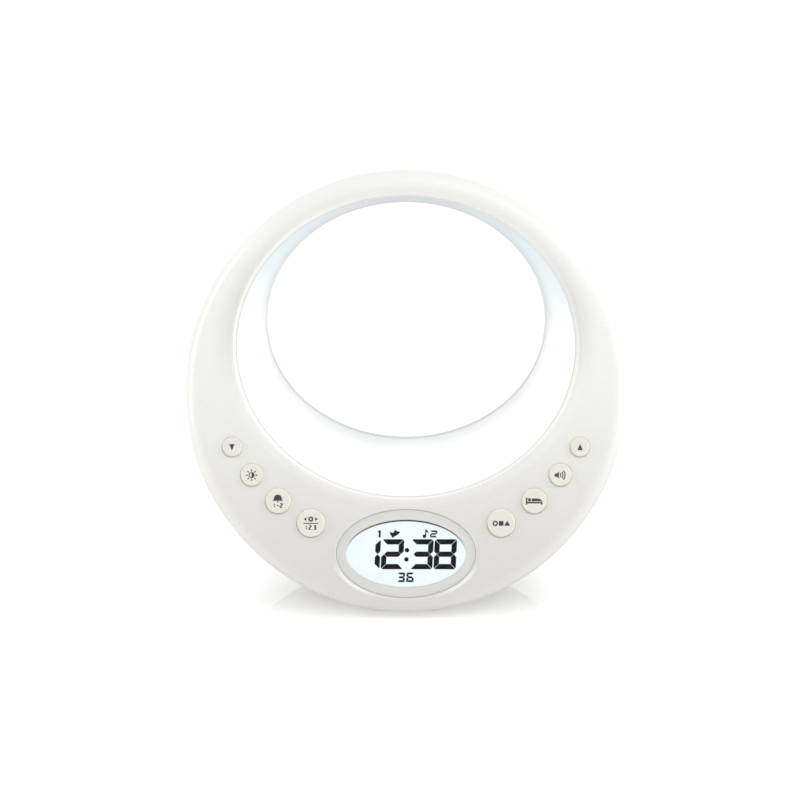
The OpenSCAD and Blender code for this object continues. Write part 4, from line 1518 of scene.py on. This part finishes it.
@dataclass
class Glow:
    """The diffuser with its reflector, and the LEDs on their board.

    Attributes:
        dome_mm: radius of the phosphor over each LED.
        dome_rise: its height as a share of its radius.
        led_w_mm: width of an LED's case.
    """

    dome_mm: float = 1.2
    dome_rise: float = 0.35
    led_w_mm: float = 3.4

    def build(self) -> None:
        """Dresses the light's parts and sets a dome on each LED."""
        dress_all({
            "light_diffuser": GlowingDiffuser(),
            "light_reflector": FineMatt("reflector_white", (0.88, 0.88, 0.87), gloss=0.3),
            "led_board": CircuitBoard("white_board", (0.78, 0.78, 0.76), (0.70, 0.70, 0.68)),
            "led_chips": FineMatt("led_case", (0.85, 0.85, 0.82), gloss=0.4)})
        self._domes()

    def _led_tops(self) -> list[Vector]:
        """The middles of the LEDs' outer faces.

        Returns:
            One point for each LED, in the model's frame.
        """
        points = FACE.points("led_chips")
        outer = min(p.z for p in points)
        boxes = [box_of(group) for group in clusters(
            (p for p in points if p.z < outer + 0.1), self.led_w_mm * 1.5)]
        return [FACE.at((low.x + high.x) / 2, (low.y + high.y) / 2, outer) for low, high in boxes]

    def _domes(self) -> None:
        """Makes the phosphor domes."""
        tops = self._led_tops()
        inwards = (FACE.to_model.to_3x3() @ Vector((0, 0, -1))).normalized()
        phosphor = FineMatt("phosphor", (0.85, 0.62, 0.10), gloss=0.35, grain_per_m=4000.0).make()
        tree = DomeTree(self.dome_mm, self.dome_rise)
        mesh = tree.run("led_domes", tops, [inwards] * len(tops), phosphor)
        new_object("led_domes", mesh, phosphor, HOUSING)


class Figures:
    """Seven-segment figures with mitred ends and clipped corners."""

    LIT = {"0": "abcdef", "1": "bc", "2": "abged", "3": "abgcd", "4": "fgbc",
           "5": "afgcd", "6": "afgedc", "7": "abc", "8": "abcdefg", "9": "abcdfg"}
    CLIP = 0.28  # how much of a stroke's width is clipped off a corner

    def __init__(self, width: float, height: float, stroke: float, gap: float, slant: float = 0.0) -> None:
        """Keeps the sizes of a figure.

        Args:
            width: width of a figure, in millimetres.
            height: its height.
            stroke: width of a segment.
            gap: space between two segments.
            slant: how far a figure leans to the right for each unit of its height.
        """
        self.w, self.h, self.t, self.g, self.slant = width, height, stroke, gap, slant

    def _long(self, x0: float, x1: float, outer: float, inner: float, upright: bool) -> Ribbon:
        """A segment at the figure's edge, clipped at its outer corners.

        Args:
            x0: where it starts along the figure.
            x1: where it ends.
            outer: place of its outer edge.
            inner: place of its inner edge.
            upright: whether it runs up the figure.

        Returns:
            The segment.
        """
        clip = self.t * self.CLIP
        side = math.copysign(1, outer - inner)
        start = [(x0 + clip / 2, outer - side * clip / 2), (x0 + clip, outer)]
        end = [(x1 - clip, outer), (x1 - clip / 2, outer - side * clip / 2)]
        edge = start + spread([start[1], end[0]], 0.8)[1:-1] + end
        n = len(edge) - 1
        low, high = x0 + self.t, x1 - self.t
        between = [(low + (high - low) * (k / n), inner) for k in range(2, n - 1)]
        opposite = [(low, inner)] * 2 + between + [(high, inner)] * 2
        if upright:
            return Ribbon(tuple((y, x) for x, y in edge), tuple((y, x) for x, y in opposite))
        return Ribbon(tuple(edge), tuple(opposite))

    def _segment(self, name: str) -> Ribbon:
        """One of the seven segments, a to g.

        Args:
            name: the segment's letter.

        Returns:
            The segment, in a figure whose lower left corner is the origin.
        """
        w, h, t, g = self.w, self.h, self.t, self.g
        middle = h / 2
        if name == "a":
            return self._long(g, w - g, h, h - t, False)
        if name == "d":
            return self._long(g, w - g, 0, t, False)
        if name == "g":
            tips = ((t / 2 + g, middle), (t + g / 2, middle + t / 2),
                    (w - t - g / 2, middle + t / 2), (w - t / 2 - g, middle))
            return Ribbon(tips, tuple((x, 2 * middle - y) for x, y in tips))
        left = name in "ef"
        low = name in "ce"
        outer, inner = (0, t) if left else (w, w - t)
        corner = g if low else h - g
        tip = middle - g / 2 if low else middle + g / 2
        side = 1 if low else -1
        clip = t * self.CLIP
        inwards = math.copysign(1, inner - outer)
        outline = [(outer + inwards * clip / 2, corner + side * clip / 2), (outer, corner + side * clip),
                   (outer, tip - side * t / 2), (outer + inwards * t / 2, tip)]
        opposite = [(inner, corner + side * t), (inner, corner + side * (t + clip)),
                    (inner, tip - side * t / 2), (outer + inwards * t / 2, tip)]
        return Ribbon(tuple(outline), tuple(opposite))

    def write(self, text: str, x: float, y: float, pitch: float = 0.0) -> list[Ribbon]:
        """A row of figures.

        Args:
            text: the figures.
            x: left edge of the first one.
            y: their lower edge.
            pitch: distance from one to the next.

        Returns:
            Their segments.
        """
        return [self._segment(s).sheared(self.slant, self.h / 2).moved(x + i * pitch, y)
                for i, figure in enumerate(text) for s in self.LIT[figure]]


@dataclass
class Display:
    """The oval display: bezel, window, lit cell with its figures, and what carries them.

    Attributes:
        time: the large figures and where each one starts, in millimetres from the window's middle.
        time_low: height of their lower edge.
        colon: where the colon's dots lie above that edge.
        colon_r: radius of its dots.
        slant: how far every figure leans for each unit of its height.
        seconds: the seconds.
        seconds_at: where they start.
        seconds_pitch: distance from one of their figures to the next.
        signs_low: height of the small signs' lower edge.
        ink_mm: height of the figures' top above the cell.
    """

    time: tuple[tuple[str, float], ...] = (("1", -22.4), ("2", -11.5), ("3", 2.2), ("8", 13.1))
    time_low: float = -7.7
    colon: tuple[Point, ...] = ((0.45, 8.9), (0.2, 4.6))
    colon_r: float = 1.05
    slant: float = 0.05
    seconds: str = "36"
    seconds_at: Point = (-4.0, -13.7)
    seconds_pitch: float = 4.15
    signs_low: float = 7.1
    ink_mm: float = 0.03

    def build(self) -> None:
        """Dresses the display's parts and sets the figures in the cell."""
        dress_all({
            "display_bezel": FineMatt("bezel_matt", (0.70, 0.695, 0.665), drift=0.97, gloss=0.42,
                                      grain_per_m=2500.0, grain_mm=0.004),
            "display_lens": ClearWindow(),
            "display_glass": BacklitCell(),
            "display_light_guide": FineMatt("light_guide", (0.86, 0.87, 0.88), gloss=0.3),
            "display_frame": FineMatt("frame_white", (0.80, 0.80, 0.78), gloss=0.45),
            "display_contact_strip": StripedElastomer()})
        self._figures()

    def _time(self) -> list[Ribbon]:
        """The hours and minutes, with the colon between them.

        Returns:
            Their shapes.
        """
        big = Figures(10.4, 14.0, 2.45, 0.1, self.slant)
        figures = [r for figure, x in self.time for r in big.write(figure, x, self.time_low)]
        dots = [(x, self.time_low + y) for x, y in self.colon]
        return figures + [r for dot in dots for r in Ribbon.disc(self.colon_r, dot)]

    def _seconds(self) -> list[Ribbon]:
        """The seconds below the time."""
        small = Figures(3.5, 4.5, 0.98, 0.05, self.slant)
        return small.write(self.seconds, *self.seconds_at, self.seconds_pitch)

    def _signs(self) -> list[Ribbon]:
        """Small signs above the time: alarm 1 with a bird, alarm 2 with a note.

        Returns:
            Their shapes.
        """
        y = self.signs_low
        one = [Ribbon.bar((-12.3, y), (-12.2, y + 3.3), 0.95),
               Ribbon.bar((-13.0, y + 2.6), (-12.3, y + 3.1), 0.5)]
        two = Figures(3.4, 3.3, 0.8, 0.03, self.slant).write("2", 11.2, y)
        return one + self._bird(-7.6, y) + self._note(7.7, y) + two

    @staticmethod
    def _bird(x: float, y: float) -> list[Ribbon]:
        """A small bird with one raised wing.

        Args:
            x: left edge.
            y: lower edge.

        Returns:
            Its body and wing.
        """
        body = Ribbon(((0.0, 1.6), (1.0, 0.6), (2.4, 0.5), (3.7, 1.3), (5.0, 2.5)),
                      ((0.3, 2.6), (1.3, 2.2), (2.6, 2.5), (3.9, 2.9), (5.0, 2.5)))
        wing = Ribbon(((1.7, 2.0), (2.1, 2.9), (2.6, 3.6)), ((3.7, 2.2), (3.3, 3.1), (2.6, 3.6)))
        tail = Ribbon(((1.2, 1.0), (0.9, 0.3), (1.0, -0.2)), ((2.6, 0.9), (2.0, 0.2), (1.0, -0.2)))
        return [body.moved(x, y), wing.moved(x, y), tail.moved(x, y)]

    @staticmethod
    def _note(x: float, y: float) -> list[Ribbon]:
        """A quaver.

        Args:
            x: left edge.
            y: lower edge.

        Returns:
            Its head, stem and flag.
        """
        stem = Ribbon.bar((x + 1.5, y + 0.6), (x + 1.5, y + 3.7), 0.5)
        flag = Ribbon(((1.6, 3.8), (2.4, 3.1), (3.0, 2.1)), ((1.6, 2.7), (2.2, 2.3), (3.0, 2.1)))
        return Ribbon.disc(0.85, (x + 0.85, y + 0.6)) + [stem, flag.moved(x, y)]

    def _figures(self) -> None:
        """Prints all the figures on the lit cell."""
        centre = FACE.middle("display_lens")
        _, top = FACE.extent("display_glass")
        stamp = Stamp(FACE, lambda x, y: top.z, (0.0, centre.y), lift_mm=self.ink_mm, across=2)
        mesh = stamp.mesh("display_figures", self._time() + self._seconds() + self._signs())
        black = Ink("crystal_black", (0.010, 0.011, 0.013), gloss=0.5, shine=0.05)
        new_object("display_figures", mesh, black.make(), HOUSING)


class KeySigns:
    """The pictograms on the keys, each about its key's centre, in millimetres."""

    def __init__(self) -> None:
        """Chooses the small figures that stand below some signs."""
        self.figures = Figures(1.45, 2.2, 0.58, 0.02)

    def down(self) -> list[Ribbon]:
        """A triangle that points down."""
        return [Ribbon.mirrored([(0.0, -1.6), (0.95, 0.7), (1.25, 1.4)])]

    def up(self) -> list[Ribbon]:
        """A triangle that points up."""
        return [r.moved(0, 0, 1, 180) for r in self.down()]

    def light(self) -> list[Ribbon]:
        """A sun with eight rays, half of it filled."""
        return Ribbon.ring(0.98, 1.38) + [Ribbon.round_fill(1.05)] + Ribbon.spokes(1.75, 2.65, 0.5)

    def alarm(self) -> list[Ribbon]:
        """A bell over the figures 1 and 2 with a dot between them.

        Returns:
            Its shapes.
        """
        bell = Ribbon.mirrored([(2.6, 0.2), (2.0, 0.7), (1.75, 1.9), (1.2, 2.7), (0.4, 3.05)])
        clapper = Ribbon.round_fill(0.5, 180, 360)
        figures = self.figures.write("1", -2.75, -3.1) + self.figures.write("2", 0.85, -3.1)
        return [bell, clapper] + figures + Ribbon.disc(0.36, (0.0, -2.0))

    def set(self) -> list[Ribbon]:
        """A toothed wheel between two arrows over a line, with the figures 1 to 3 below it.

        Returns:
            Its shapes.
        """
        up = 2.0
        wheel = Ribbon.ring(0.45, 1.0, (0, up)) + Ribbon.spokes(0.9, 1.35, 0.45, up)
        arrow = Ribbon.mirrored([(0.9, -0.6), (0.05, 0.6)])
        arrows = [arrow.moved(side * -2.6, up, 1, side * 90) for side in (-1, 1)]
        line = Ribbon.bar((-3.4, 0), (3.4, 0), 0.42)
        return wheel + arrows + [line] + self.figures.write("123", -3.3, -3.0, 2.2)

    def mode(self) -> list[Ribbon]:
        """A ring, a square and a triangle in a row.

        Returns:
            Its shapes.
        """
        square = Ribbon.bar((-1.1, 0), (1.1, 0), 2.2)
        triangle = Ribbon.mirrored([(1.4, -1.1), (0.05, 1.25)]).moved(2.75, 0)
        return Ribbon.ring(0.6, 1.25, (-2.75, 0)) + [square, triangle]

    def sleep(self) -> list[Ribbon]:
        """A bed with a pillow and a cover.

        Returns:
            Its shapes.
        """
        ends = [Ribbon.bar((x, -1.6), (x, top), 0.65) for x, top in ((-3.5, 1.7), (3.5, -0.2))]
        base = Ribbon.bar((-3.5, -0.65), (3.5, -0.65), 0.75)
        cover = Ribbon(((-1.2, 0.0), (1.0, 0.0), (2.6, 0.0), (3.8, 0.0)),
                       ((-1.2, 1.25), (1.0, 1.3), (2.6, 1.05), (3.8, 0.1)))
        return ends + [base, cover] + Ribbon.disc(0.75, (-2.2, 0.65))

    def volume(self) -> list[Ribbon]:
        """A loudspeaker with three sound waves.

        Returns:
            Its shapes.
        """
        horn = Ribbon(((-2.7, 0.7), (-1.8, 0.7), (-0.7, 1.7)), ((-2.7, -0.7), (-1.8, -0.7), (-0.7, -1.7)))
        waves = [Ribbon.arc(r, r + 0.5, -38, 38, (-1.3, 0)) for r in (1.25, 2.2, 3.15)]
        return [horn] + waves

    def of(self, key: KeyName) -> list[Ribbon]:
        """The pictogram of a key.

        Args:
            key: the key.

        Returns:
            Its shapes.
        """
        return getattr(self, key.value)()


@dataclass
class Keypad:
    """The eight keys with their plungers and printing.

    Attributes:
        flange_mm: width of the flange behind the face.
        crown_mm: rise of a key's top at its middle.
        ink_mm: height of the print above a key.
        signs: the pictograms.
    """

    flange_mm: float = 1.2
    crown_mm: float = 0.35
    ink_mm: float = 0.012
    signs: KeySigns = field(default_factory=KeySigns)

    def build(self) -> None:
        """Dresses the keys and prints their signs."""
        plunger = FineMatt("plunger_black", (0.05, 0.05, 0.055), gloss=0.4).make()
        ink = Ink("key_ink", (0.045, 0.048, 0.055)).make()
        for key in KeyName:
            low, high = FACE.extent(key.node)
            radius = (high.x - low.x) / 2 - self.flange_mm
            axis = FACE.middle(key.plunger)
            dress(key.node, KeyMoulding(f"pearl_key_{key.value}", (axis.x, axis.y), radius).make())
            dress(key.plunger, plunger)
            self._print(key, ink, axis, radius, high.z)

    def _print(self, key: KeyName, ink: bpy.types.Material, axis: Vector, radius: float,
               top: float) -> None:
        """Prints one key's sign on its crowned top.

        Args:
            key: the key.
            ink: the printing's material.
            axis: a point on the key's axis.
            radius: radius of the key's top.
            top: height of its middle above the face.
        """
        bow = (radius ** 2 + self.crown_mm ** 2) / (2 * self.crown_mm)

        def crown(x: float, y: float) -> float:
            """Height of the key's top at a point about its centre."""
            return top - bow + math.sqrt(bow ** 2 - x ** 2 - y ** 2)

        stamp = Stamp(FACE, crown, (axis.x, axis.y), lift_mm=self.ink_mm)
        mesh = stamp.mesh(f"sign_{key.value}", self.signs.of(key))
        new_object(f"sign_{key.value}", mesh, ink, key.body)


@dataclass
class Electronics:
    """The main board and what is soldered to it.

    Attributes:
        chip_mm: distance within which corners belong to one chip.
        leg_pitch_mm: spacing of the chips' legs.
        leg_mm: length, width and thickness of a leg.
        leg_out_mm: how far a leg's middle stands off the chip's side.
        leg_up_mm: depth of the legs below the chip's back.
        row_end_mm: length of a chip's side that is left without legs.
    """

    chip_mm: float = 13.0
    leg_pitch_mm: float = 1.0
    leg_mm: tuple[float, float, float] = (1.0, 0.4, 0.15)
    leg_out_mm: float = 0.4
    leg_up_mm: float = 0.25
    row_end_mm: float = 1.0

    def build(self) -> None:
        """Dresses the board and its parts and gives the chips their legs."""
        dress_all({
            "main_board": CircuitBoard(),
            "board_screws": DrawnMetal("board_screw_steel", (0.60, 0.60, 0.61)),
            "key_switches": FineMatt("switch_black", (0.03, 0.03, 0.032), gloss=0.45),
            "controller_chips": FineMatt("chip_epoxy", (0.022, 0.022, 0.024), gloss=0.55),
            "capacitors": FineMatt("capacitor_sleeve", (0.03, 0.05, 0.16), gloss=0.35),
            "wire_sockets": FineMatt("socket_nylon", (0.78, 0.75, 0.66), gloss=0.4)})
        self._legs()

    def _legs(self) -> None:
        """Makes the chips' legs."""
        points, facings = [], []
        turn = FACE.to_model.to_3x3()
        for chip in clusters(FACE.points("controller_chips"), self.chip_mm):
            low, high = box_of(chip)
            count = max(3, int((high.y - low.y - self.row_end_mm) / self.leg_pitch_mm))
            for side, x in ((-1, low.x), (1, high.x)):
                for k in range(count):
                    y = (low.y + high.y) / 2 + (k - (count - 1) / 2) * self.leg_pitch_mm
                    points.append(FACE.at(x + side * self.leg_out_mm, y, high.z - self.leg_up_mm))
                    facings.append((turn @ Vector((side, 0, 0))).normalized())
        tin = DrawnMetal("leg_tin", (0.75, 0.75, 0.74), gloss=0.3).make()
        mesh = LegTree(*self.leg_mm).run("chip_legs", points, facings, tin)
        new_object("chip_legs", mesh, tin, HOUSING)


@dataclass
class Back:
    """What sits on the sloping back: speaker, inlet and battery.

    Attributes:
        coil_turns: turns of a battery spring.
        wire_mm: radius of its wire.
        taper: radius of its small end as a share of the wide end's.
        spring_gap_mm: least space between two springs, up the back.
    """

    coil_turns: float = 3.5
    wire_mm: float = 0.35
    taper: float = 0.7
    spring_gap_mm: float = 0.8

    def build(self) -> None:
        """Dresses the speaker, the inlet and the battery, and winds the springs."""
        dress_all({
            "speaker_frame": DrawnMetal("basket_steel", (0.45, 0.45, 0.46), gloss=0.35),
            "speaker_cone": SpeakerPaper(),
            "speaker_magnet": FineMatt("ferrite", (0.06, 0.06, 0.062), gloss=0.6, grain_mm=0.02),
            "speaker_clamp": FineMatt("clamp_white", (0.76, 0.755, 0.73), gloss=0.45),
            "speaker_screws": DrawnMetal("clamp_screw_steel", (0.60, 0.60, 0.61)),
            "power_jack": FineMatt("inlet_black", (0.022, 0.022, 0.024), gloss=0.4),
            "battery_cells": CellSleeve(),
            "battery_contacts": DrawnMetal("contact_nickel", (0.72, 0.70, 0.66)),
            "battery_door": PearlMoulding.coarse("pearl_door")})
        self._springs()

    def _spring_boxes(self) -> list[tuple[Vector, Vector]]:
        """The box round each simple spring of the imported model.

        Returns:
            The lowest and highest corner of each one along the back's axes, from the lowest spring up.
        """
        groups: list[list[Vector]] = []
        for point in sorted(BACK.points("battery_springs"), key=lambda p: p.y):
            if groups and point.y - groups[-1][-1].y < self.spring_gap_mm:
                groups[-1].append(point)
            else:
                groups.append([point])
        return [box_of(group) for group in groups]

    def _springs(self) -> None:
        """Winds smooth wire springs in place of the simple ones."""
        boxes = self._spring_boxes()
        feet, facings = [], []
        for low, high in boxes:
            side = 1 if low.x > 0 else -1
            foot = (high.x if side > 0 else low.x) - side * self.wire_mm
            feet.append(BACK.at(foot, (low.y + high.y) / 2, (low.z + high.z) / 2))
            facings.append((BACK.to_model.to_3x3() @ Vector((-side, 0, 0))).normalized())
        low, high = boxes[0]
        reach = (high.y - low.y) / 2 - self.wire_mm
        length = high.x - low.x - 2 * self.wire_mm
        tree = CoilTree(reach, reach * self.taper, length, self.coil_turns, self.wire_mm)
        wire = DrawnMetal("spring_wire", (0.74, 0.73, 0.70), gloss=0.25).make()
        mesh = tree.run("spring_coils", feet, facings, wire)
        made = new_object("spring_coils", mesh, wire, HOUSING)
        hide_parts("battery_springs")


# ---------------------------------------------------------------------------------------------------------
# Studio
# ---------------------------------------------------------------------------------------------------------


@dataclass(frozen=True)
class SoftBox:
    """A rectangular light that looks at the clock.

    Attributes:
        name: the light's name.
        azimuth: its direction round the clock in degrees, 0 in front and positive to the right.
        elevation: its height above the horizon, in degrees.
        distance: its distance.
        size: its width and height.
        watts: its power.
    """

    name: str
    azimuth: float
    elevation: float
    distance: float
    size: tuple[float, float]
    watts: float

    def place(self, target: Vector) -> None:
        """Sets the light up.

        Args:
            target: the point that it looks at.
        """
        lamp = bpy.data.lights.new(self.name, "AREA")
        lamp.shape = "RECTANGLE"
        lamp.size, lamp.size_y = self.size
        lamp.energy = self.watts
        a, e = math.radians(self.azimuth), math.radians(self.elevation)
        away = Vector((math.sin(a) * math.cos(e), -math.cos(a) * math.cos(e), math.sin(e)))
        made = bpy.data.objects.new(self.name, lamp)
        made.location = target + away * self.distance
        made.rotation_euler = (-away).to_track_quat("-Z", "Y").to_euler()
        bpy.context.scene.collection.objects.link(made)


@dataclass
class Studio:
    """Pale floor, even white surroundings, soft boxes and the camera square to the face.

    Attributes:
        distance: distance of the camera from the face.
        image_span: width of the picture at the face.
        ring_pixel: where the ring's centre falls in the picture.
        picture: width and height of the picture in pixels.
        sensor_mm: width of the camera's sensor.
        ambient: strength of the surroundings.
        floor: half the width of the floor, its depth behind the clock and the radius of its sweep.
        boxes: the soft boxes.
    """

    distance: float = 0.85
    image_span: float = 0.3704
    ring_pixel: Point = (406.0, 390.5)
    picture: float = 800.0
    sensor_mm: float = 36.0
    ambient: float = 0.70
    floor: tuple[float, float, float] = (5.0, 3.0, 1.0)
    boxes: tuple[SoftBox, ...] = (
        SoftBox("top_box", 26, 48, 0.6, (0.5, 0.3), 0.58),
        SoftBox("ceiling", 0, 82, 0.7, (0.5, 0.3), 0.15),
        SoftBox("left_strip", -78, 15, 0.9, (0.05, 0.9), 2.4),
        SoftBox("right_strip", 78, 15, 0.9, (0.05, 0.9), 2.5))

    def build(self) -> None:
        """Sets up the camera, the floor and the lights."""
        self._camera()
        self._floor()
        self._surroundings()
        for box in self.boxes:
            box.place(FACE.at(0, 0, 0))
        view = bpy.context.scene.view_settings
        view.view_transform = "Standard"
        view.look = "None"

    def _camera(self) -> None:
        """Sets the camera on the line out of the ring's centre, square to the face."""
        lens = bpy.data.cameras.new("camera")
        lens.sensor_width = self.sensor_mm
        lens.lens = self.sensor_mm * self.distance / self.image_span
        lens.shift_x = (self.picture / 2 - self.ring_pixel[0]) / self.picture
        lens.shift_y = (self.ring_pixel[1] - self.picture / 2) / self.picture
        lens.dof.use_dof = False
        lens.clip_start, lens.clip_end = 0.01, 20.0
        made = bpy.data.objects.new("camera", lens)
        made.location = FACE.at(0, 0, self.distance / MM)
        made.rotation_euler = FACE.to_model.to_euler()
        bpy.context.scene.collection.objects.link(made)
        bpy.context.scene.camera = made

    def _floor(self) -> None:
        """Lays the floor, which sweeps up behind the clock."""
        mesh = bpy.data.meshes.new("floor")
        half, depth, bend = self.floor
        turns = [math.pi / 2 * k / 12 for k in range(13)]
        line = [(-half, 0.0)] + [(depth + bend * math.sin(t), bend * (1 - math.cos(t))) for t in turns]
        line.append((depth + bend, half))
        points = [(x, y, z) for y, z in line for x in (-half, half)]
        faces = [(2 * k, 2 * k + 1, 2 * k + 3, 2 * k + 2) for k in range(len(line) - 1)]
        mesh.from_pydata(points, [], faces)
        mesh.shade_smooth()
        mesh.materials.append(LightTable().make())
        made = bpy.data.objects.new("floor", mesh)
        bpy.context.scene.collection.objects.link(made)

    def _surroundings(self) -> None:
        """Lights the scene evenly from all round."""
        world = bpy.data.worlds.new("surroundings")
        world.use_nodes = True
        ground = world.node_tree.nodes["Background"]
        ground.inputs["Color"].default_value = (1.0, 1.0, 1.0, 1.0)
        ground.inputs["Strength"].default_value = self.ambient
        bpy.context.scene.world = world


def main() -> None:
    """Builds the studio and the clock, part by part."""
    logging.basicConfig(level=logging.INFO, format="%(name)s: %(message)s")
    for part in (Studio(), Housing(), Glow(), Display(), Keypad(), Electronics(), Back()):
        part.build()
        log.info("finished %s", type(part).__name__)


if __name__ == "__main__":
    main()
